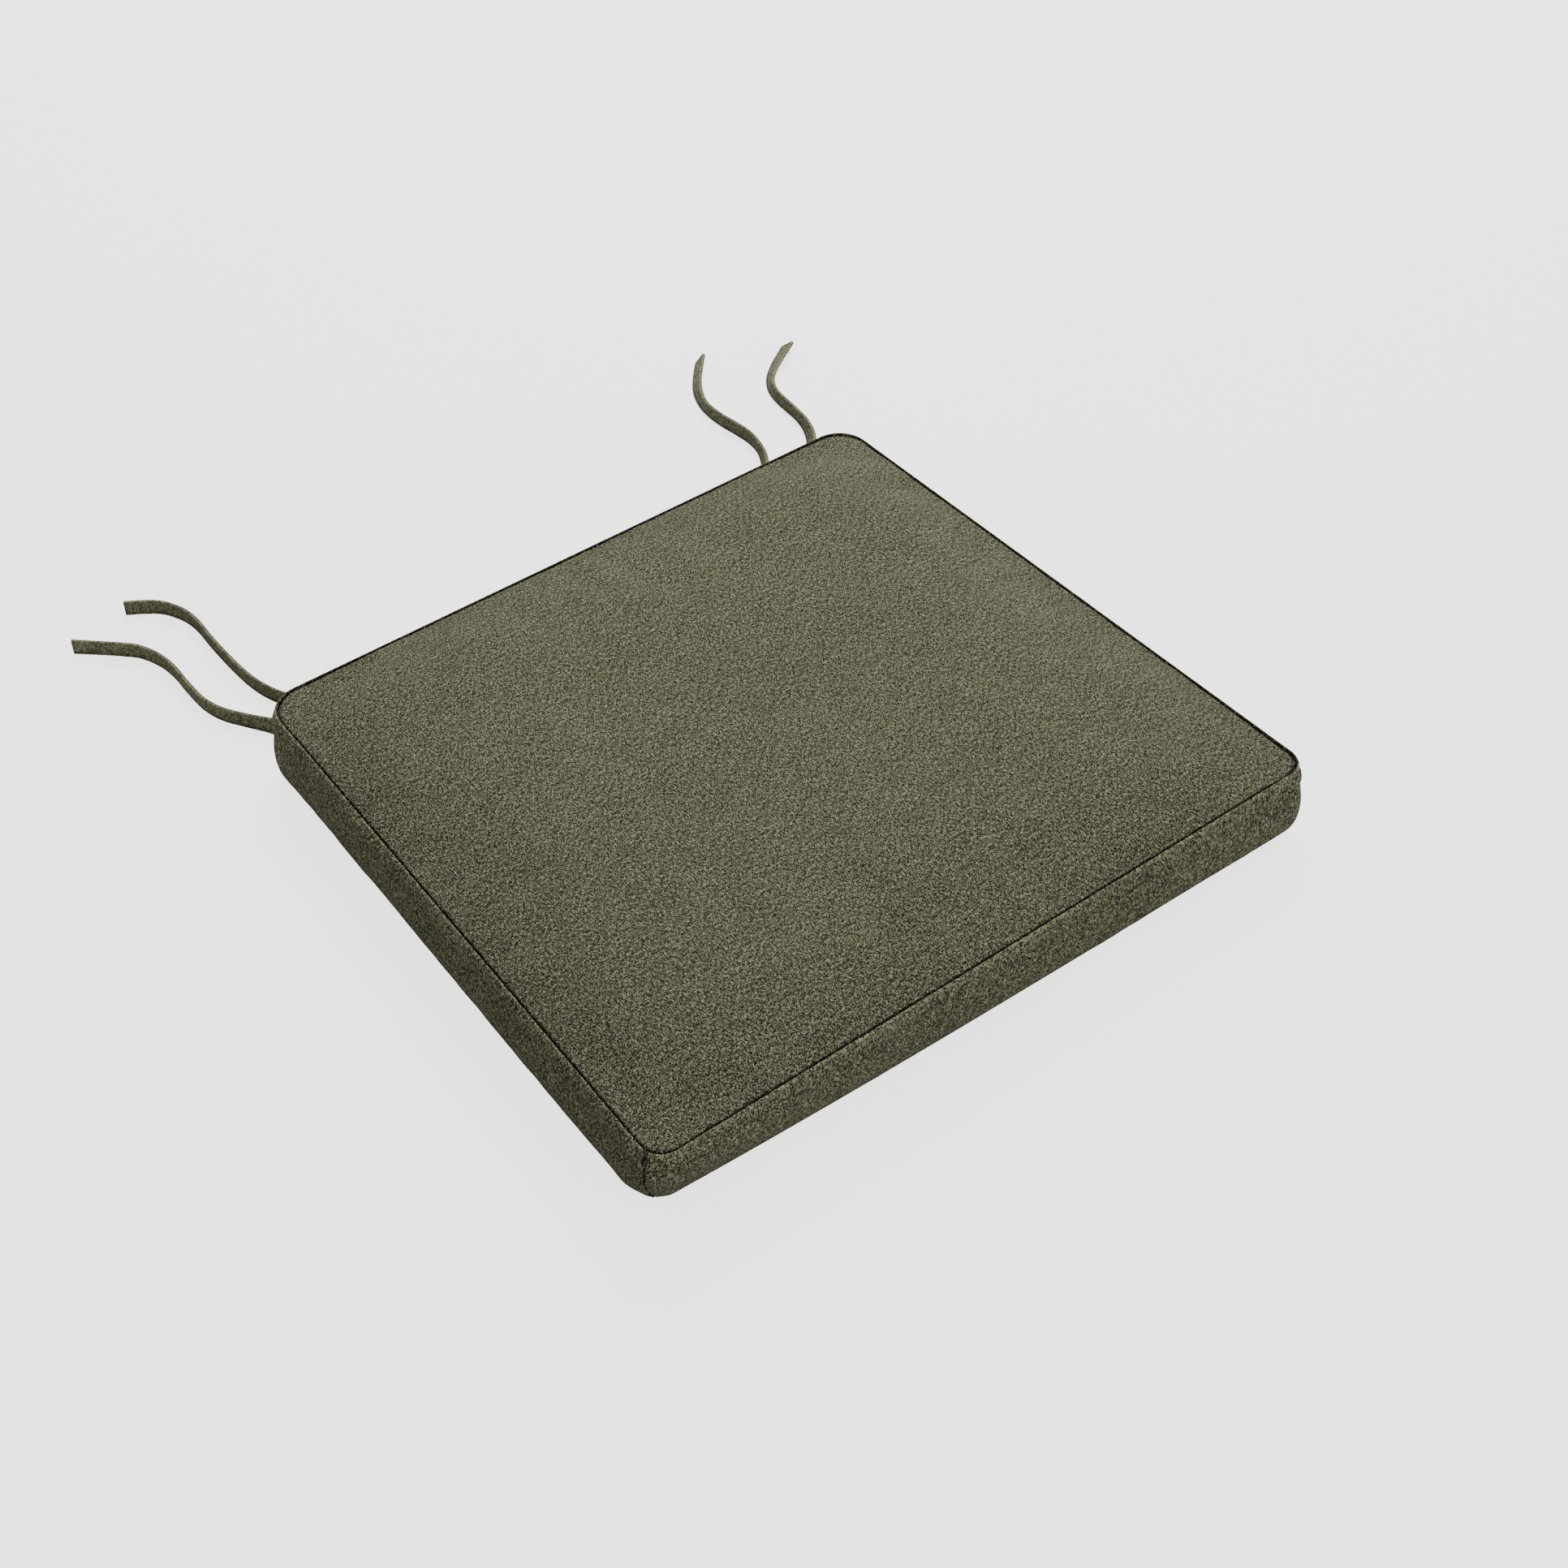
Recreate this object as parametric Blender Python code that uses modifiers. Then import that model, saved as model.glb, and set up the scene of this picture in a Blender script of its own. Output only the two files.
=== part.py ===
"""Boxed chair seat pad with a zipped cover and two pairs of ties.

Metres, +Z up, +X to the right along the front edge, +Y to the back. The pad rests on z = 0 and
the origin is under the middle of its box. The cover is cut as a top panel, a bottom panel and a
boxing band between them; the band's rear stretch is a zip placket. Inside lie a foam slab and
two layers of fibre. The four ties come out of the bottom seam near the back corners.
"""
import math

import bmesh
import bpy
from mathutils import Vector

# Overall size
FRONT_WIDTH = 0.4826
BACK_WIDTH = 0.4580
DEPTH = 0.4318
THICKNESS = 0.0762

# Cover
CLOTH = 0.0012
GAP = 0.0003
JOIN_GAP = 0.0006
BULGE = 0.0042
LOW_SEAM = 0.0100
HIGH_SEAM = 0.0570
ALLOWANCE = 0.0090
FRONT_CORNER = 0.0130
BACK_CORNER = 0.0210
TOP_ROLL = 0.0750
BOTTOM_ROLL = 0.0450
ROLL_POWER = 2.2
CORNER_GROWTH = 0.4
THREAD = 0.0007

# Filling
FOAM_DROP = 0.0015
FOAM_EDGE = 0.0020

# Zip
PLACKET_HALF = 0.1600
WINDOW_HALF = 0.0052
ROW_WIDTH = 0.0024
ROW_GAP = 0.0016
ROW_DEPTH = 0.0020
TAPE_MARGIN = 0.0007
TAPE_DEPTH = 0.0007
STOP_LENGTH = 0.0027
END_MARGIN = 0.0020
SLIDER_LENGTH = 0.0120
SLIDER_PLATE = 0.0010
SLIDER_FLANGE = 0.0010
SLIDER_MARGIN = 0.0013
RUNNING_GAP = 0.0003
WEB = 0.0010
WEB_LENGTH = 0.0025
ARCH_HALF = 0.0031
ARCH_POST = 0.0010
ARCH_WIDTH = 0.0014
ARCH_HEIGHT = 0.0030
PULL_BAR = 0.0012
PULL_ARM = 0.0013
PULL_SLOT = 0.0043
PULL_LENGTH = 0.0240
PULL_WIDTH = 0.0070
PULL_HOLE = 0.0018

# Ties
TIE_WIDTH = 0.0120
TIE_THICKNESS = 0.0026
FLOOR_GAP = 0.0001
TIE_STEP = 0.0080

# Sampling of the plan outline
ARC_STEPS = 6
FRONT_STEPS = 8
SIDE_STEPS = 6
BACK_STEPS = 8
BACK_SHARE = 0.8
ROLL_STOPS = (0.0, 0.05, 0.13, 0.26, 0.45, 0.70, 1.0)

# Routes of the ties from the seam to the cut end: x, y, the roll of the flat band in degrees,
# 0 lying flat and 90 standing on its edge, and its height over lying on the floor.
TIE_ROUTES = {
    "tie_left_outer": (
        (-0.2040, 0.2107, 0, 0.0061), (-0.2041, 0.2180, 0, 0.0056), (-0.2045, 0.2255, 20, 0.0039),
        (-0.2065, 0.2340, 55, 0.0016), (-0.2112, 0.2430, 80, 0.0004), (-0.2210, 0.2573, 90, 0.0000),
        (-0.2298, 0.2713, 90, 0.0000), (-0.2345, 0.2866, 90, 0.0000), (-0.2353, 0.3061, 90, 0.0000),
        (-0.2350, 0.3250, 90, 0.0000), (-0.2372, 0.3407, 90, 0.0000), (-0.2433, 0.3555, 90, 0.0000),
        (-0.2512, 0.3645, 90, 0.0000), (-0.2600, 0.3728, 90, 0.0000), (-0.2760, 0.3872, 90, 0.0000),
    ),
    "tie_left_inner": (
        (-0.1740, 0.2107, 0, 0.0061), (-0.1741, 0.2180, 0, 0.0056), (-0.1750, 0.2270, 25, 0.0039),
        (-0.1790, 0.2380, 60, 0.0016), (-0.1853, 0.2490, 85, 0.0004), (-0.1932, 0.2624, 90, 0.0000),
        (-0.1985, 0.2770, 90, 0.0000), (-0.2010, 0.2913, 80, 0.0000), (-0.2022, 0.3110, 72, 0.0000),
        (-0.2023, 0.3346, 70, 0.0000), (-0.2016, 0.3560, 75, 0.0000), (-0.2040, 0.3715, 90, 0.0000),
        (-0.2115, 0.3860, 90, 0.0000), (-0.2215, 0.3945, 90, 0.0000), (-0.2317, 0.4009, 90, 0.0000),
    ),
    "tie_right_inner": (
        (0.1740, 0.2107, 0, 0.0061), (0.1741, 0.2180, 0, 0.0056), (0.1752, 0.2280, -25, 0.0039),
        (0.1800, 0.2400, -60, 0.0016), (0.1888, 0.2530, -85, 0.0004), (0.1993, 0.2685, -90, 0.0000),
        (0.2052, 0.2835, -90, 0.0000), (0.2068, 0.2972, -90, 0.0000), (0.2054, 0.3101, -90, 0.0000),
        (0.2031, 0.3250, -90, 0.0000), (0.2028, 0.3400, -90, 0.0000), (0.2060, 0.3530, -78, 0.0000),
        (0.2136, 0.3680, -62, 0.0000), (0.2248, 0.3823, -55, 0.0000), (0.2355, 0.3942, -55, 0.0000),
    ),
    "tie_right_outer": (
        (0.2040, 0.2107, 0, 0.0061), (0.2042, 0.2180, 0, 0.0056), (0.2070, 0.2280, -25, 0.0039),
        (0.2140, 0.2400, -60, 0.0016), (0.2245, 0.2510, -85, 0.0004), (0.2395, 0.2660, -90, 0.0000),
        (0.2470, 0.2815, -90, 0.0000), (0.2500, 0.2963, -90, 0.0000), (0.2510, 0.3118, -90, 0.0000),
        (0.2522, 0.3230, -88, 0.0000), (0.2565, 0.3350, -74, 0.0000), (0.2660, 0.3470, -52, 0.0000),
        (0.2780, 0.3567, -42, 0.0000), (0.2890, 0.3640, -38, 0.0000), (0.2985, 0.3700, -38, 0.0000),
    ),
}

FABRIC = ("pad_fabric", (0.128, 0.126, 0.080), 0.92, 0.0)
LINING = ("under_fabric", (0.105, 0.103, 0.066), 0.92, 0.0)
SEWING_THREAD = ("sewing_thread", (0.060, 0.060, 0.038), 0.75, 0.0)
FOAM = ("foam", (0.820, 0.760, 0.560), 0.95, 0.0)
FIBRE = ("polyester_fibre", (0.880, 0.880, 0.860), 1.00, 0.0)
TAPE = ("zip_tape", (0.070, 0.070, 0.045), 0.85, 0.0)
COIL = ("zip_coil", (0.080, 0.080, 0.052), 0.45, 0.0)
METAL = ("zip_metal", (0.330, 0.310, 0.250), 0.35, 1.0)

SEAM_DEPTH = DEPTH - 2 * BULGE
SEAM_FRONT = FRONT_WIDTH - 2 * BULGE
SEAM_BACK = BACK_WIDTH - 2 * BULGE
BACK_FACE = DEPTH / 2
MID_HEIGHT = (LOW_SEAM + HIGH_SEAM) / 2
FOAM_LOW = LOW_SEAM + FOAM_DROP
FOAM_HIGH = HIGH_SEAM - FOAM_DROP
PANEL_INSET = CLOTH + GAP
FILL_INSET = PANEL_INSET + CLOTH + GAP

# Depths of the zip's layers, measured inwards from the back face
ARCH_TOP = 0.0002
PLATE_TOP = ARCH_TOP + ARCH_HEIGHT
PLATE_UNDER = PLATE_TOP + SLIDER_PLATE
ROW_TOP = PLATE_UNDER + RUNNING_GAP
ROW_UNDER = ROW_TOP + ROW_DEPTH
TAPE_TOP = ROW_UNDER + GAP
TAPE_UNDER = TAPE_TOP + TAPE_DEPTH
BACK_PLATE_TOP = TAPE_UNDER + RUNNING_GAP
BACK_PLATE_UNDER = BACK_PLATE_TOP + SLIDER_PLATE
FILL_BACK = BACK_PLATE_UNDER + 0.0005 - BULGE
TAPE_EDGE = (HIGH_SEAM - LOW_SEAM) / 2 - ALLOWANCE - TAPE_MARGIN
ROW_END = PLACKET_HALF - END_MARGIN - STOP_LENGTH - GAP
SLIDER_AT = ROW_END - SLIDER_MARGIN + GAP - SLIDER_LENGTH / 2
PULL_AXIS = PLATE_TOP - (ARCH_HEIGHT - SLIDER_PLATE) / 2


def clear_scene():
    for item in list(bpy.data.objects):
        bpy.data.objects.remove(item, do_unlink=True)
    for collection in list(bpy.data.collections):
        bpy.data.collections.remove(collection)


def collection(name):
    made = bpy.data.collections.new(name)
    bpy.context.scene.collection.children.link(made)
    return made


def material(kind):
    name, colour, roughness, metallic = kind
    made = bpy.data.materials.get(name)
    if made is None:
        made = bpy.data.materials.new(name)
        made.use_nodes = True
        shader = made.node_tree.nodes["Principled BSDF"]
        shader.inputs["Base Color"].default_value = (*colour, 1.0)
        shader.inputs["Roughness"].default_value = roughness
        shader.inputs["Metallic"].default_value = metallic
        made.diffuse_color = (*colour, 1.0)
    return made


def place(name, data, kind):
    made = bpy.data.objects.new(name, data)
    data.materials.append(material(kind))
    PARTS.objects.link(made)
    return made


def hide_as_cutter(made):
    for owner in list(made.users_collection):
        owner.objects.unlink(made)
    CUTTERS.objects.link(made)
    made.hide_render = True
    made.display_type = "WIRE"


def combine(target, other, operation):
    hide_as_cutter(other)
    step = target.modifiers.new(operation.lower(), "BOOLEAN")
    step.object = other
    step.operation = operation
    step.solver = "EXACT"


def bevel(made, width, segments=2, angle=35):
    step = made.modifiers.new("soften", "BEVEL")
    step.width = width
    step.segments = segments
    step.limit_method = "ANGLE"
    step.angle_limit = math.radians(angle)


# ---------------------------------------------------------------- plan outline

def half_width(y):
    """Half the width of the seam line's side edges, which close towards the back."""
    along = (y + SEAM_DEPTH / 2) / SEAM_DEPTH
    return (SEAM_FRONT + (SEAM_BACK - SEAM_FRONT) * along) / 2


def arc(corner, before, after, radius):
    """Points of the round at a corner, from the edge that comes in to the edge that goes out."""
    to_before = (before - corner).normalized()
    to_after = (after - corner).normalized()
    opening = to_before.angle(to_after)
    centre = corner + (to_before + to_after).normalized() * (radius / math.sin(opening / 2))
    start = corner + to_before * (radius / math.tan(opening / 2)) - centre
    turn = math.pi - opening
    points = []
    for step in range(ARC_STEPS + 1):
        angle = turn * step / ARC_STEPS
        across = math.cos(angle) * start.x - math.sin(angle) * start.y
        along = math.sin(angle) * start.x + math.cos(angle) * start.y
        points.append(centre + Vector((across, along)))
    return points


def outline(inset, back_inset=None):
    """Plan outline moved in from the seam line; each one has its points in the same order."""
    back_inset = inset if back_inset is None else back_inset
    lean = math.hypot(1, (SEAM_FRONT - SEAM_BACK) / 2 / SEAM_DEPTH)
    front = -SEAM_DEPTH / 2 + inset
    back = SEAM_DEPTH / 2 - back_inset
    wide = half_width(front) - inset * lean
    narrow = half_width(back) - inset * lean
    corners = [Vector((-wide, front)), Vector((wide, front)),
               Vector((narrow, back)), Vector((-narrow, back))]
    grown = inset * CORNER_GROWTH if inset > 0 else -inset
    radii = [FRONT_CORNER + grown, FRONT_CORNER + grown, BACK_CORNER + grown, BACK_CORNER + grown]
    arcs = [arc(corners[i], corners[i - 1], corners[(i + 1) % 4], radii[i]) for i in range(4)]
    points = []
    for index, steps in enumerate((FRONT_STEPS, SIDE_STEPS, BACK_STEPS, SIDE_STEPS)):
        start = arcs[index][-1]
        end = arcs[(index + 1) % 4][0]
        points += arcs[index]
        if index == 2:
            reach = min(PLACKET_HALF, BACK_SHARE * start.x)
            points += [Vector((reach * (1 - 2 * step / steps), back)) for step in range(steps + 1)]
        else:
            points += [start.lerp(end, (step + 1) / (steps + 1)) for step in range(steps)]
    return points


ARC_POINTS = ARC_STEPS + 1
FRONT_LEFT_JOIN = ARC_STEPS // 2
FRONT_RIGHT_JOIN = ARC_POINTS + FRONT_STEPS + ARC_STEPS // 2
PLACKET_RIGHT = 3 * ARC_POINTS + FRONT_STEPS + SIDE_STEPS
PLACKET_LEFT = PLACKET_RIGHT + BACK_STEPS
OUTLINE_POINTS = 4 * ARC_POINTS + FRONT_STEPS + 2 * SIDE_STEPS + BACK_STEPS + 1


def ring(inset, height, back_inset=None):
    return [Vector((point.x, point.y, height)) for point in outline(inset, back_inset)]


def stretch(row, first, last):
    """Points of a ring from one index to another, going on past its end, with the two end
    points drawn in by half a join's gap so that neighbouring bands stay apart."""
    points = [row[index % len(row)].copy() for index in range(first, last + 1)]
    opening = (points[1] - points[0]).normalized() * JOIN_GAP / 2
    closing = (points[-2] - points[-1]).normalized() * JOIN_GAP / 2
    points[0] += opening
    points[-1] += closing
    return points


# ---------------------------------------------------------------- surfaces

def grid_mesh(name, rows, closed=False, cap_first=False, cap_last=False, flip=False):
    """Skin over rows of points; a closed row joins its last point to its first."""
    build = bmesh.new()
    verts = [[build.verts.new(point) for point in row] for row in rows]
    count = len(rows[0])
    columns = count if closed else count - 1
    for low, high in zip(verts, verts[1:]):
        for column in range(columns):
            after = (column + 1) % count
            build.faces.new((low[column], low[after], high[after], high[column]))
    if cap_first:
        build.faces.new(list(reversed(verts[0])))
    if cap_last:
        build.faces.new(verts[-1])
    if flip:
        bmesh.ops.reverse_faces(build, faces=build.faces)
    mesh = bpy.data.meshes.new(name)
    build.to_mesh(mesh)
    build.free()
    mesh.shade_smooth()
    return mesh


def cloth(name, rows, kind, **skin):
    """A sheet of cloth with its outer face on the rows."""
    made = place(name, grid_mesh(name, rows, **skin), kind)
    step = made.modifiers.new("thickness", "SOLIDIFY")
    step.thickness = CLOTH
    step.offset = -1
    step.use_even_offset = True
    return made


def rise(inset, roll):
    """Share of the crown reached at a distance in from the seam."""
    along = min(max(inset - PANEL_INSET, 0) / roll, 1)
    return 1 - (1 - along) ** ROLL_POWER


def top_height(inset):
    return HIGH_SEAM + GAP + (THICKNESS - HIGH_SEAM - GAP) * rise(inset, TOP_ROLL)


def bottom_height(inset):
    return (LOW_SEAM - GAP) * (1 - rise(inset, BOTTOM_ROLL))


def steepness(height_at, inset):
    """How much farther along the vertical a sheet's thickness reaches where it slopes."""
    small = 0.0005
    return math.hypot(1, (height_at(inset + small) - height_at(inset)) / small)


# ---------------------------------------------------------------- cover

def make_panels():
    inset = PANEL_INSET
    rows = [ring(inset, HIGH_SEAM - ALLOWANCE)]
    rows += [ring(inset + TOP_ROLL * stop, top_height(inset + TOP_ROLL * stop))
             for stop in ROLL_STOPS]
    cloth("top_panel", rows, FABRIC, closed=True, cap_last=True)
    rows = [ring(inset, LOW_SEAM + ALLOWANCE)]
    rows += [ring(inset + BOTTOM_ROLL * stop, bottom_height(inset + BOTTOM_ROLL * stop))
             for stop in ROLL_STOPS]
    cloth("bottom_panel", rows, LINING, closed=True, cap_last=True, flip=True)


def band_inset(height):
    """How far the boxing stands out of the seam line at a height."""
    share = (height - LOW_SEAM) / (HIGH_SEAM - LOW_SEAM)
    return -BULGE * (1 - (2 * share - 1) ** 2)


def band_rows(low, high, steps):
    heights = [low + (high - low) * step / steps for step in range(steps + 1)]
    return [ring(band_inset(height), height) for height in heights]


def make_boxing():
    rows = band_rows(LOW_SEAM, HIGH_SEAM, 6)
    bands = {
        "front_boxing": (FRONT_LEFT_JOIN, FRONT_RIGHT_JOIN),
        "right_boxing": (FRONT_RIGHT_JOIN, PLACKET_RIGHT),
        "left_boxing": (PLACKET_LEFT, OUTLINE_POINTS + FRONT_LEFT_JOIN),
    }
    for name, (first, last) in bands.items():
        cloth(name, [stretch(row, first, last) for row in rows], FABRIC)


def make_placket():
    """The two halves of the zip placket, each with its edge folded in beside the zip."""
    fold_inset = TAPE_TOP - GAP - BULGE
    low_edge = MID_HEIGHT - WINDOW_HALF
    high_edge = MID_HEIGHT + WINDOW_HALF
    lower = band_rows(LOW_SEAM, low_edge, 3) + [ring(fold_inset, low_edge)]
    upper = [ring(fold_inset, high_edge)] + band_rows(high_edge, HIGH_SEAM, 3)
    for name, rows in (("rear_placket_lower", lower), ("rear_placket_upper", upper)):
        cloth(name, [stretch(row, PLACKET_RIGHT, PLACKET_LEFT) for row in rows], FABRIC)


def make_seam_threads():
    inset = CLOTH / 2
    for name, height in (("top_seam_thread", HIGH_SEAM + GAP + THREAD / 2),
                         ("bottom_seam_thread", LOW_SEAM - GAP - THREAD / 2)):
        data = bpy.data.curves.new(name, "CURVE")
        data.dimensions = "3D"
        data.bevel_depth = THREAD / 2
        data.bevel_resolution = 0
        points = ring(inset, height)
        run = data.splines.new("POLY")
        run.points.add(len(points) - 1)
        for slot, point in zip(run.points, points):
            slot.co = (*point, 1.0)
        run.use_cyclic_u = True
        place(name, data, SEWING_THREAD)


# ---------------------------------------------------------------- filling

def make_filling():
    inset = FILL_INSET
    edge = FOAM_EDGE
    foam = [
        ring(inset + edge, FOAM_LOW, FILL_BACK + edge),
        ring(inset, FOAM_LOW + edge, FILL_BACK),
        ring(inset, FOAM_HIGH - edge, FILL_BACK),
        ring(inset + edge, FOAM_HIGH, FILL_BACK + edge),
    ]
    place("foam_core", grid_mesh("foam_core", foam, closed=True, cap_first=True, cap_last=True), FOAM)

    fibre = (
        ("fibre_layer_top", FOAM_HIGH + GAP, top_height, TOP_ROLL, -1),
        ("fibre_layer_bottom", FOAM_LOW - GAP, bottom_height, BOTTOM_ROLL, 1),
    )
    for name, face, height_at, roll, side in fibre:
        rows = [ring(inset + GAP, face, FILL_BACK)]
        for stop in ROLL_STOPS:
            at = PANEL_INSET + roll * stop
            if at > inset + GAP:
                clear = (CLOTH + 1.5 * GAP) * steepness(height_at, at)
                rows.append(ring(at, height_at(at) + side * clear, max(FILL_BACK, at)))
        skin = grid_mesh(name, rows, closed=True, cap_first=True, cap_last=True, flip=side > 0)
        place(name, skin, FIBRE)


# ---------------------------------------------------------------- zip

def block(name, x, depth, z, kind, softened=0.0):
    """A box between two x values, two depths in from the back face and two z values about
    the zip's middle."""
    low = Vector((min(x), BACK_FACE - max(depth), MID_HEIGHT + min(z)))
    high = Vector((max(x), BACK_FACE - min(depth), MID_HEIGHT + max(z)))
    build = bmesh.new()
    bmesh.ops.create_cube(build, size=1.0)
    size = high - low
    for vert in build.verts:
        vert.co = Vector((vert.co.x * size.x, vert.co.y * size.y, vert.co.z * size.z))
    mesh = bpy.data.meshes.new(name)
    build.to_mesh(mesh)
    build.free()
    made = place(name, mesh, kind)
    made.location = (low + high) / 2
    if softened:
        bevel(made, softened)
    return made


def make_chain():
    near = ROW_GAP / 2
    far = near + ROW_WIDTH
    for side, name in ((1, "upper"), (-1, "lower")):
        block(f"zipper_tape_{name}", (-PLACKET_HALF, PLACKET_HALF), (TAPE_TOP, TAPE_UNDER),
              (side * near, side * TAPE_EDGE), TAPE)
        block(f"zipper_coil_{name}", (-ROW_END, ROW_END), (ROW_TOP, ROW_UNDER),
              (side * near, side * far), COIL, 0.0005)
        block(f"zipper_top_stop_{name}", (ROW_END + GAP, ROW_END + GAP + STOP_LENGTH),
              (ROW_TOP, ROW_UNDER), (side * near, side * far), METAL, 0.0003)
    block("zipper_bottom_stop", (-ROW_END - GAP, -ROW_END - GAP - STOP_LENGTH),
          (ROW_TOP, ROW_UNDER), (-far, far), METAL, 0.0003)


def make_slider():
    nose = SLIDER_AT + SLIDER_LENGTH / 2
    tail = SLIDER_AT - SLIDER_LENGTH / 2
    inner = ROW_GAP / 2 + ROW_WIDTH + RUNNING_GAP
    outer = inner + SLIDER_FLANGE
    slider = block("zipper_slider", (tail, nose), (PLATE_TOP, PLATE_UNDER), (-outer, outer), METAL)
    joined = [
        block("slider_back_plate", (tail, nose), (BACK_PLATE_TOP, BACK_PLATE_UNDER),
              (-outer, outer), METAL),
        block("slider_web", (nose - WEB_LENGTH, nose - 0.0002),
              (PLATE_UNDER - 0.0004, BACK_PLATE_TOP + 0.0004), (-WEB / 2, WEB / 2), METAL),
    ]
    for side in (1, -1):
        joined.append(block(f"slider_flange_{'up' if side > 0 else 'down'}",
                            (tail + 0.0002, nose - 0.0002),
                            (PLATE_TOP + 0.0004, TAPE_TOP - RUNNING_GAP),
                            (side * inner, side * (outer - 0.0001)), METAL))
    arch = block("slider_arch", (SLIDER_AT - ARCH_HALF, SLIDER_AT + ARCH_HALF),
                 (ARCH_TOP, PLATE_TOP + 0.0004), (-ARCH_WIDTH / 2, ARCH_WIDTH / 2), METAL)
    hole = block("slider_arch_hole",
                 (SLIDER_AT - ARCH_HALF + ARCH_POST, SLIDER_AT + ARCH_HALF - ARCH_POST),
                 (ARCH_TOP + SLIDER_PLATE, PLATE_TOP), (-ARCH_WIDTH, ARCH_WIDTH), METAL)
    bevel(arch, 0.0006, 2)
    combine(arch, hole, "DIFFERENCE")
    for other in joined + [arch]:
        combine(slider, other, "UNION")


def make_pull():
    """The pull tab, lying along the zip and turning on the bar under the slider's arch."""
    arm_near = ARCH_WIDTH / 2 + 0.0004
    arm_far = arm_near + PULL_ARM
    half = PULL_BAR / 2
    depth = (PULL_AXIS - half, PULL_AXIS + half)
    slot_end = SLIDER_AT - PULL_SLOT
    tip = SLIDER_AT - PULL_LENGTH
    pull = block("zipper_pull", (tip, slot_end - 0.0012), depth,
                 (-PULL_WIDTH / 2, PULL_WIDTH / 2), METAL)
    step = pull.modifiers.new("round", "BEVEL")
    step.width = 0.0022
    step.segments = 4
    step.limit_method = "WEIGHT"
    weights = pull.data.attributes.new("bevel_weight_edge", "FLOAT", "EDGE")
    for edge in pull.data.edges:
        first, second = (pull.data.vertices[index].co for index in edge.vertices)
        if abs(first.y - second.y) > half:
            weights.data[edge.index].value = 1.0
    neck = block("pull_neck", (slot_end - 0.0020, slot_end), depth, (-arm_far, arm_far), METAL)
    bar = block("pull_bar", (SLIDER_AT - half, SLIDER_AT + half), depth,
                (-arm_far + 0.0001, arm_far - 0.0001), METAL, half * 0.55)
    hole = block("pull_hole", (tip + 0.0016, tip + 0.0016 + 2 * PULL_HOLE),
                 (PULL_AXIS - 3 * half, PULL_AXIS + 3 * half), (-PULL_HOLE, PULL_HOLE), METAL)
    for side in (1, -1):
        arm = block(f"pull_arm_{'up' if side > 0 else 'down'}",
                    (slot_end - 0.0002, SLIDER_AT + half), depth,
                    (side * arm_near, side * arm_far), METAL)
        combine(neck, arm, "UNION")
    combine(neck, bar, "UNION")
    combine(pull, neck, "UNION")
    combine(pull, hole, "DIFFERENCE")


# ---------------------------------------------------------------- ties

def resting_height(roll):
    """Height of the middle of a flat band that lies on the floor at a roll."""
    return FLOOR_GAP + (TIE_WIDTH - TIE_THICKNESS) / 2 * abs(math.sin(roll)) + TIE_THICKNESS / 2


def smooth_path(route, step):
    """Points about a step apart on the curve that runs through a route's points, each with
    its place and its roll."""
    knots = []
    for x, y, degrees, lift in route:
        roll = math.radians(degrees)
        knots.append(Vector((x, y, resting_height(roll) + lift, roll)))
    knots = [2 * knots[0] - knots[1]] + knots + [2 * knots[-1] - knots[-2]]
    path = []
    for index in range(1, len(knots) - 2):
        before, start, end, after = knots[index - 1:index + 3]
        pieces = max(1, round((end - start).xyz.length / step))
        for piece in range(pieces):
            t = piece / pieces
            path.append(0.5 * (2 * start + (end - before) * t
                               + (2 * before - 5 * start + 4 * end - after) * t * t
                               + (3 * start - before - 3 * end + after) * t * t * t))
    path.append(knots[-2])
    return path


def make_ties():
    for name, route in TIE_ROUTES.items():
        data = bpy.data.curves.new(name, "CURVE")
        data.dimensions = "3D"
        data.twist_mode = "Z_UP"
        data.bevel_depth = TIE_THICKNESS / 2
        data.bevel_resolution = 2
        data.extrude = (TIE_WIDTH - TIE_THICKNESS) / 2
        data.use_fill_caps = True
        points = smooth_path(route, TIE_STEP)
        run = data.splines.new("POLY")
        run.points.add(len(points) - 1)
        for slot, point in zip(run.points, points):
            slot.co = (point[0], point[1], point[2], 1.0)
            slot.tilt = math.pi / 2 - point[3]
        place(name, data, FABRIC)


clear_scene()
PARTS = collection("chair_seat_pad")
CUTTERS = collection("cutters")
make_panels()
make_boxing()
make_placket()
make_seam_threads()
make_filling()
make_chain()
make_slider()
make_pull()
make_ties()
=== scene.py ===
"""Looks of a boxed chair seat pad with a zipped cover and two pairs of ties.

Metres, +Z up, +X to the right along the front edge, +Y to the back. The frame gives the heights
and depths; the plan of the seam line and the routes of the ties repeat the CAD model's numbers.
"""
import math

import bpy
import numpy as np
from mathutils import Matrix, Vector
from mathutils.bvhtree import BVHTree


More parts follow.
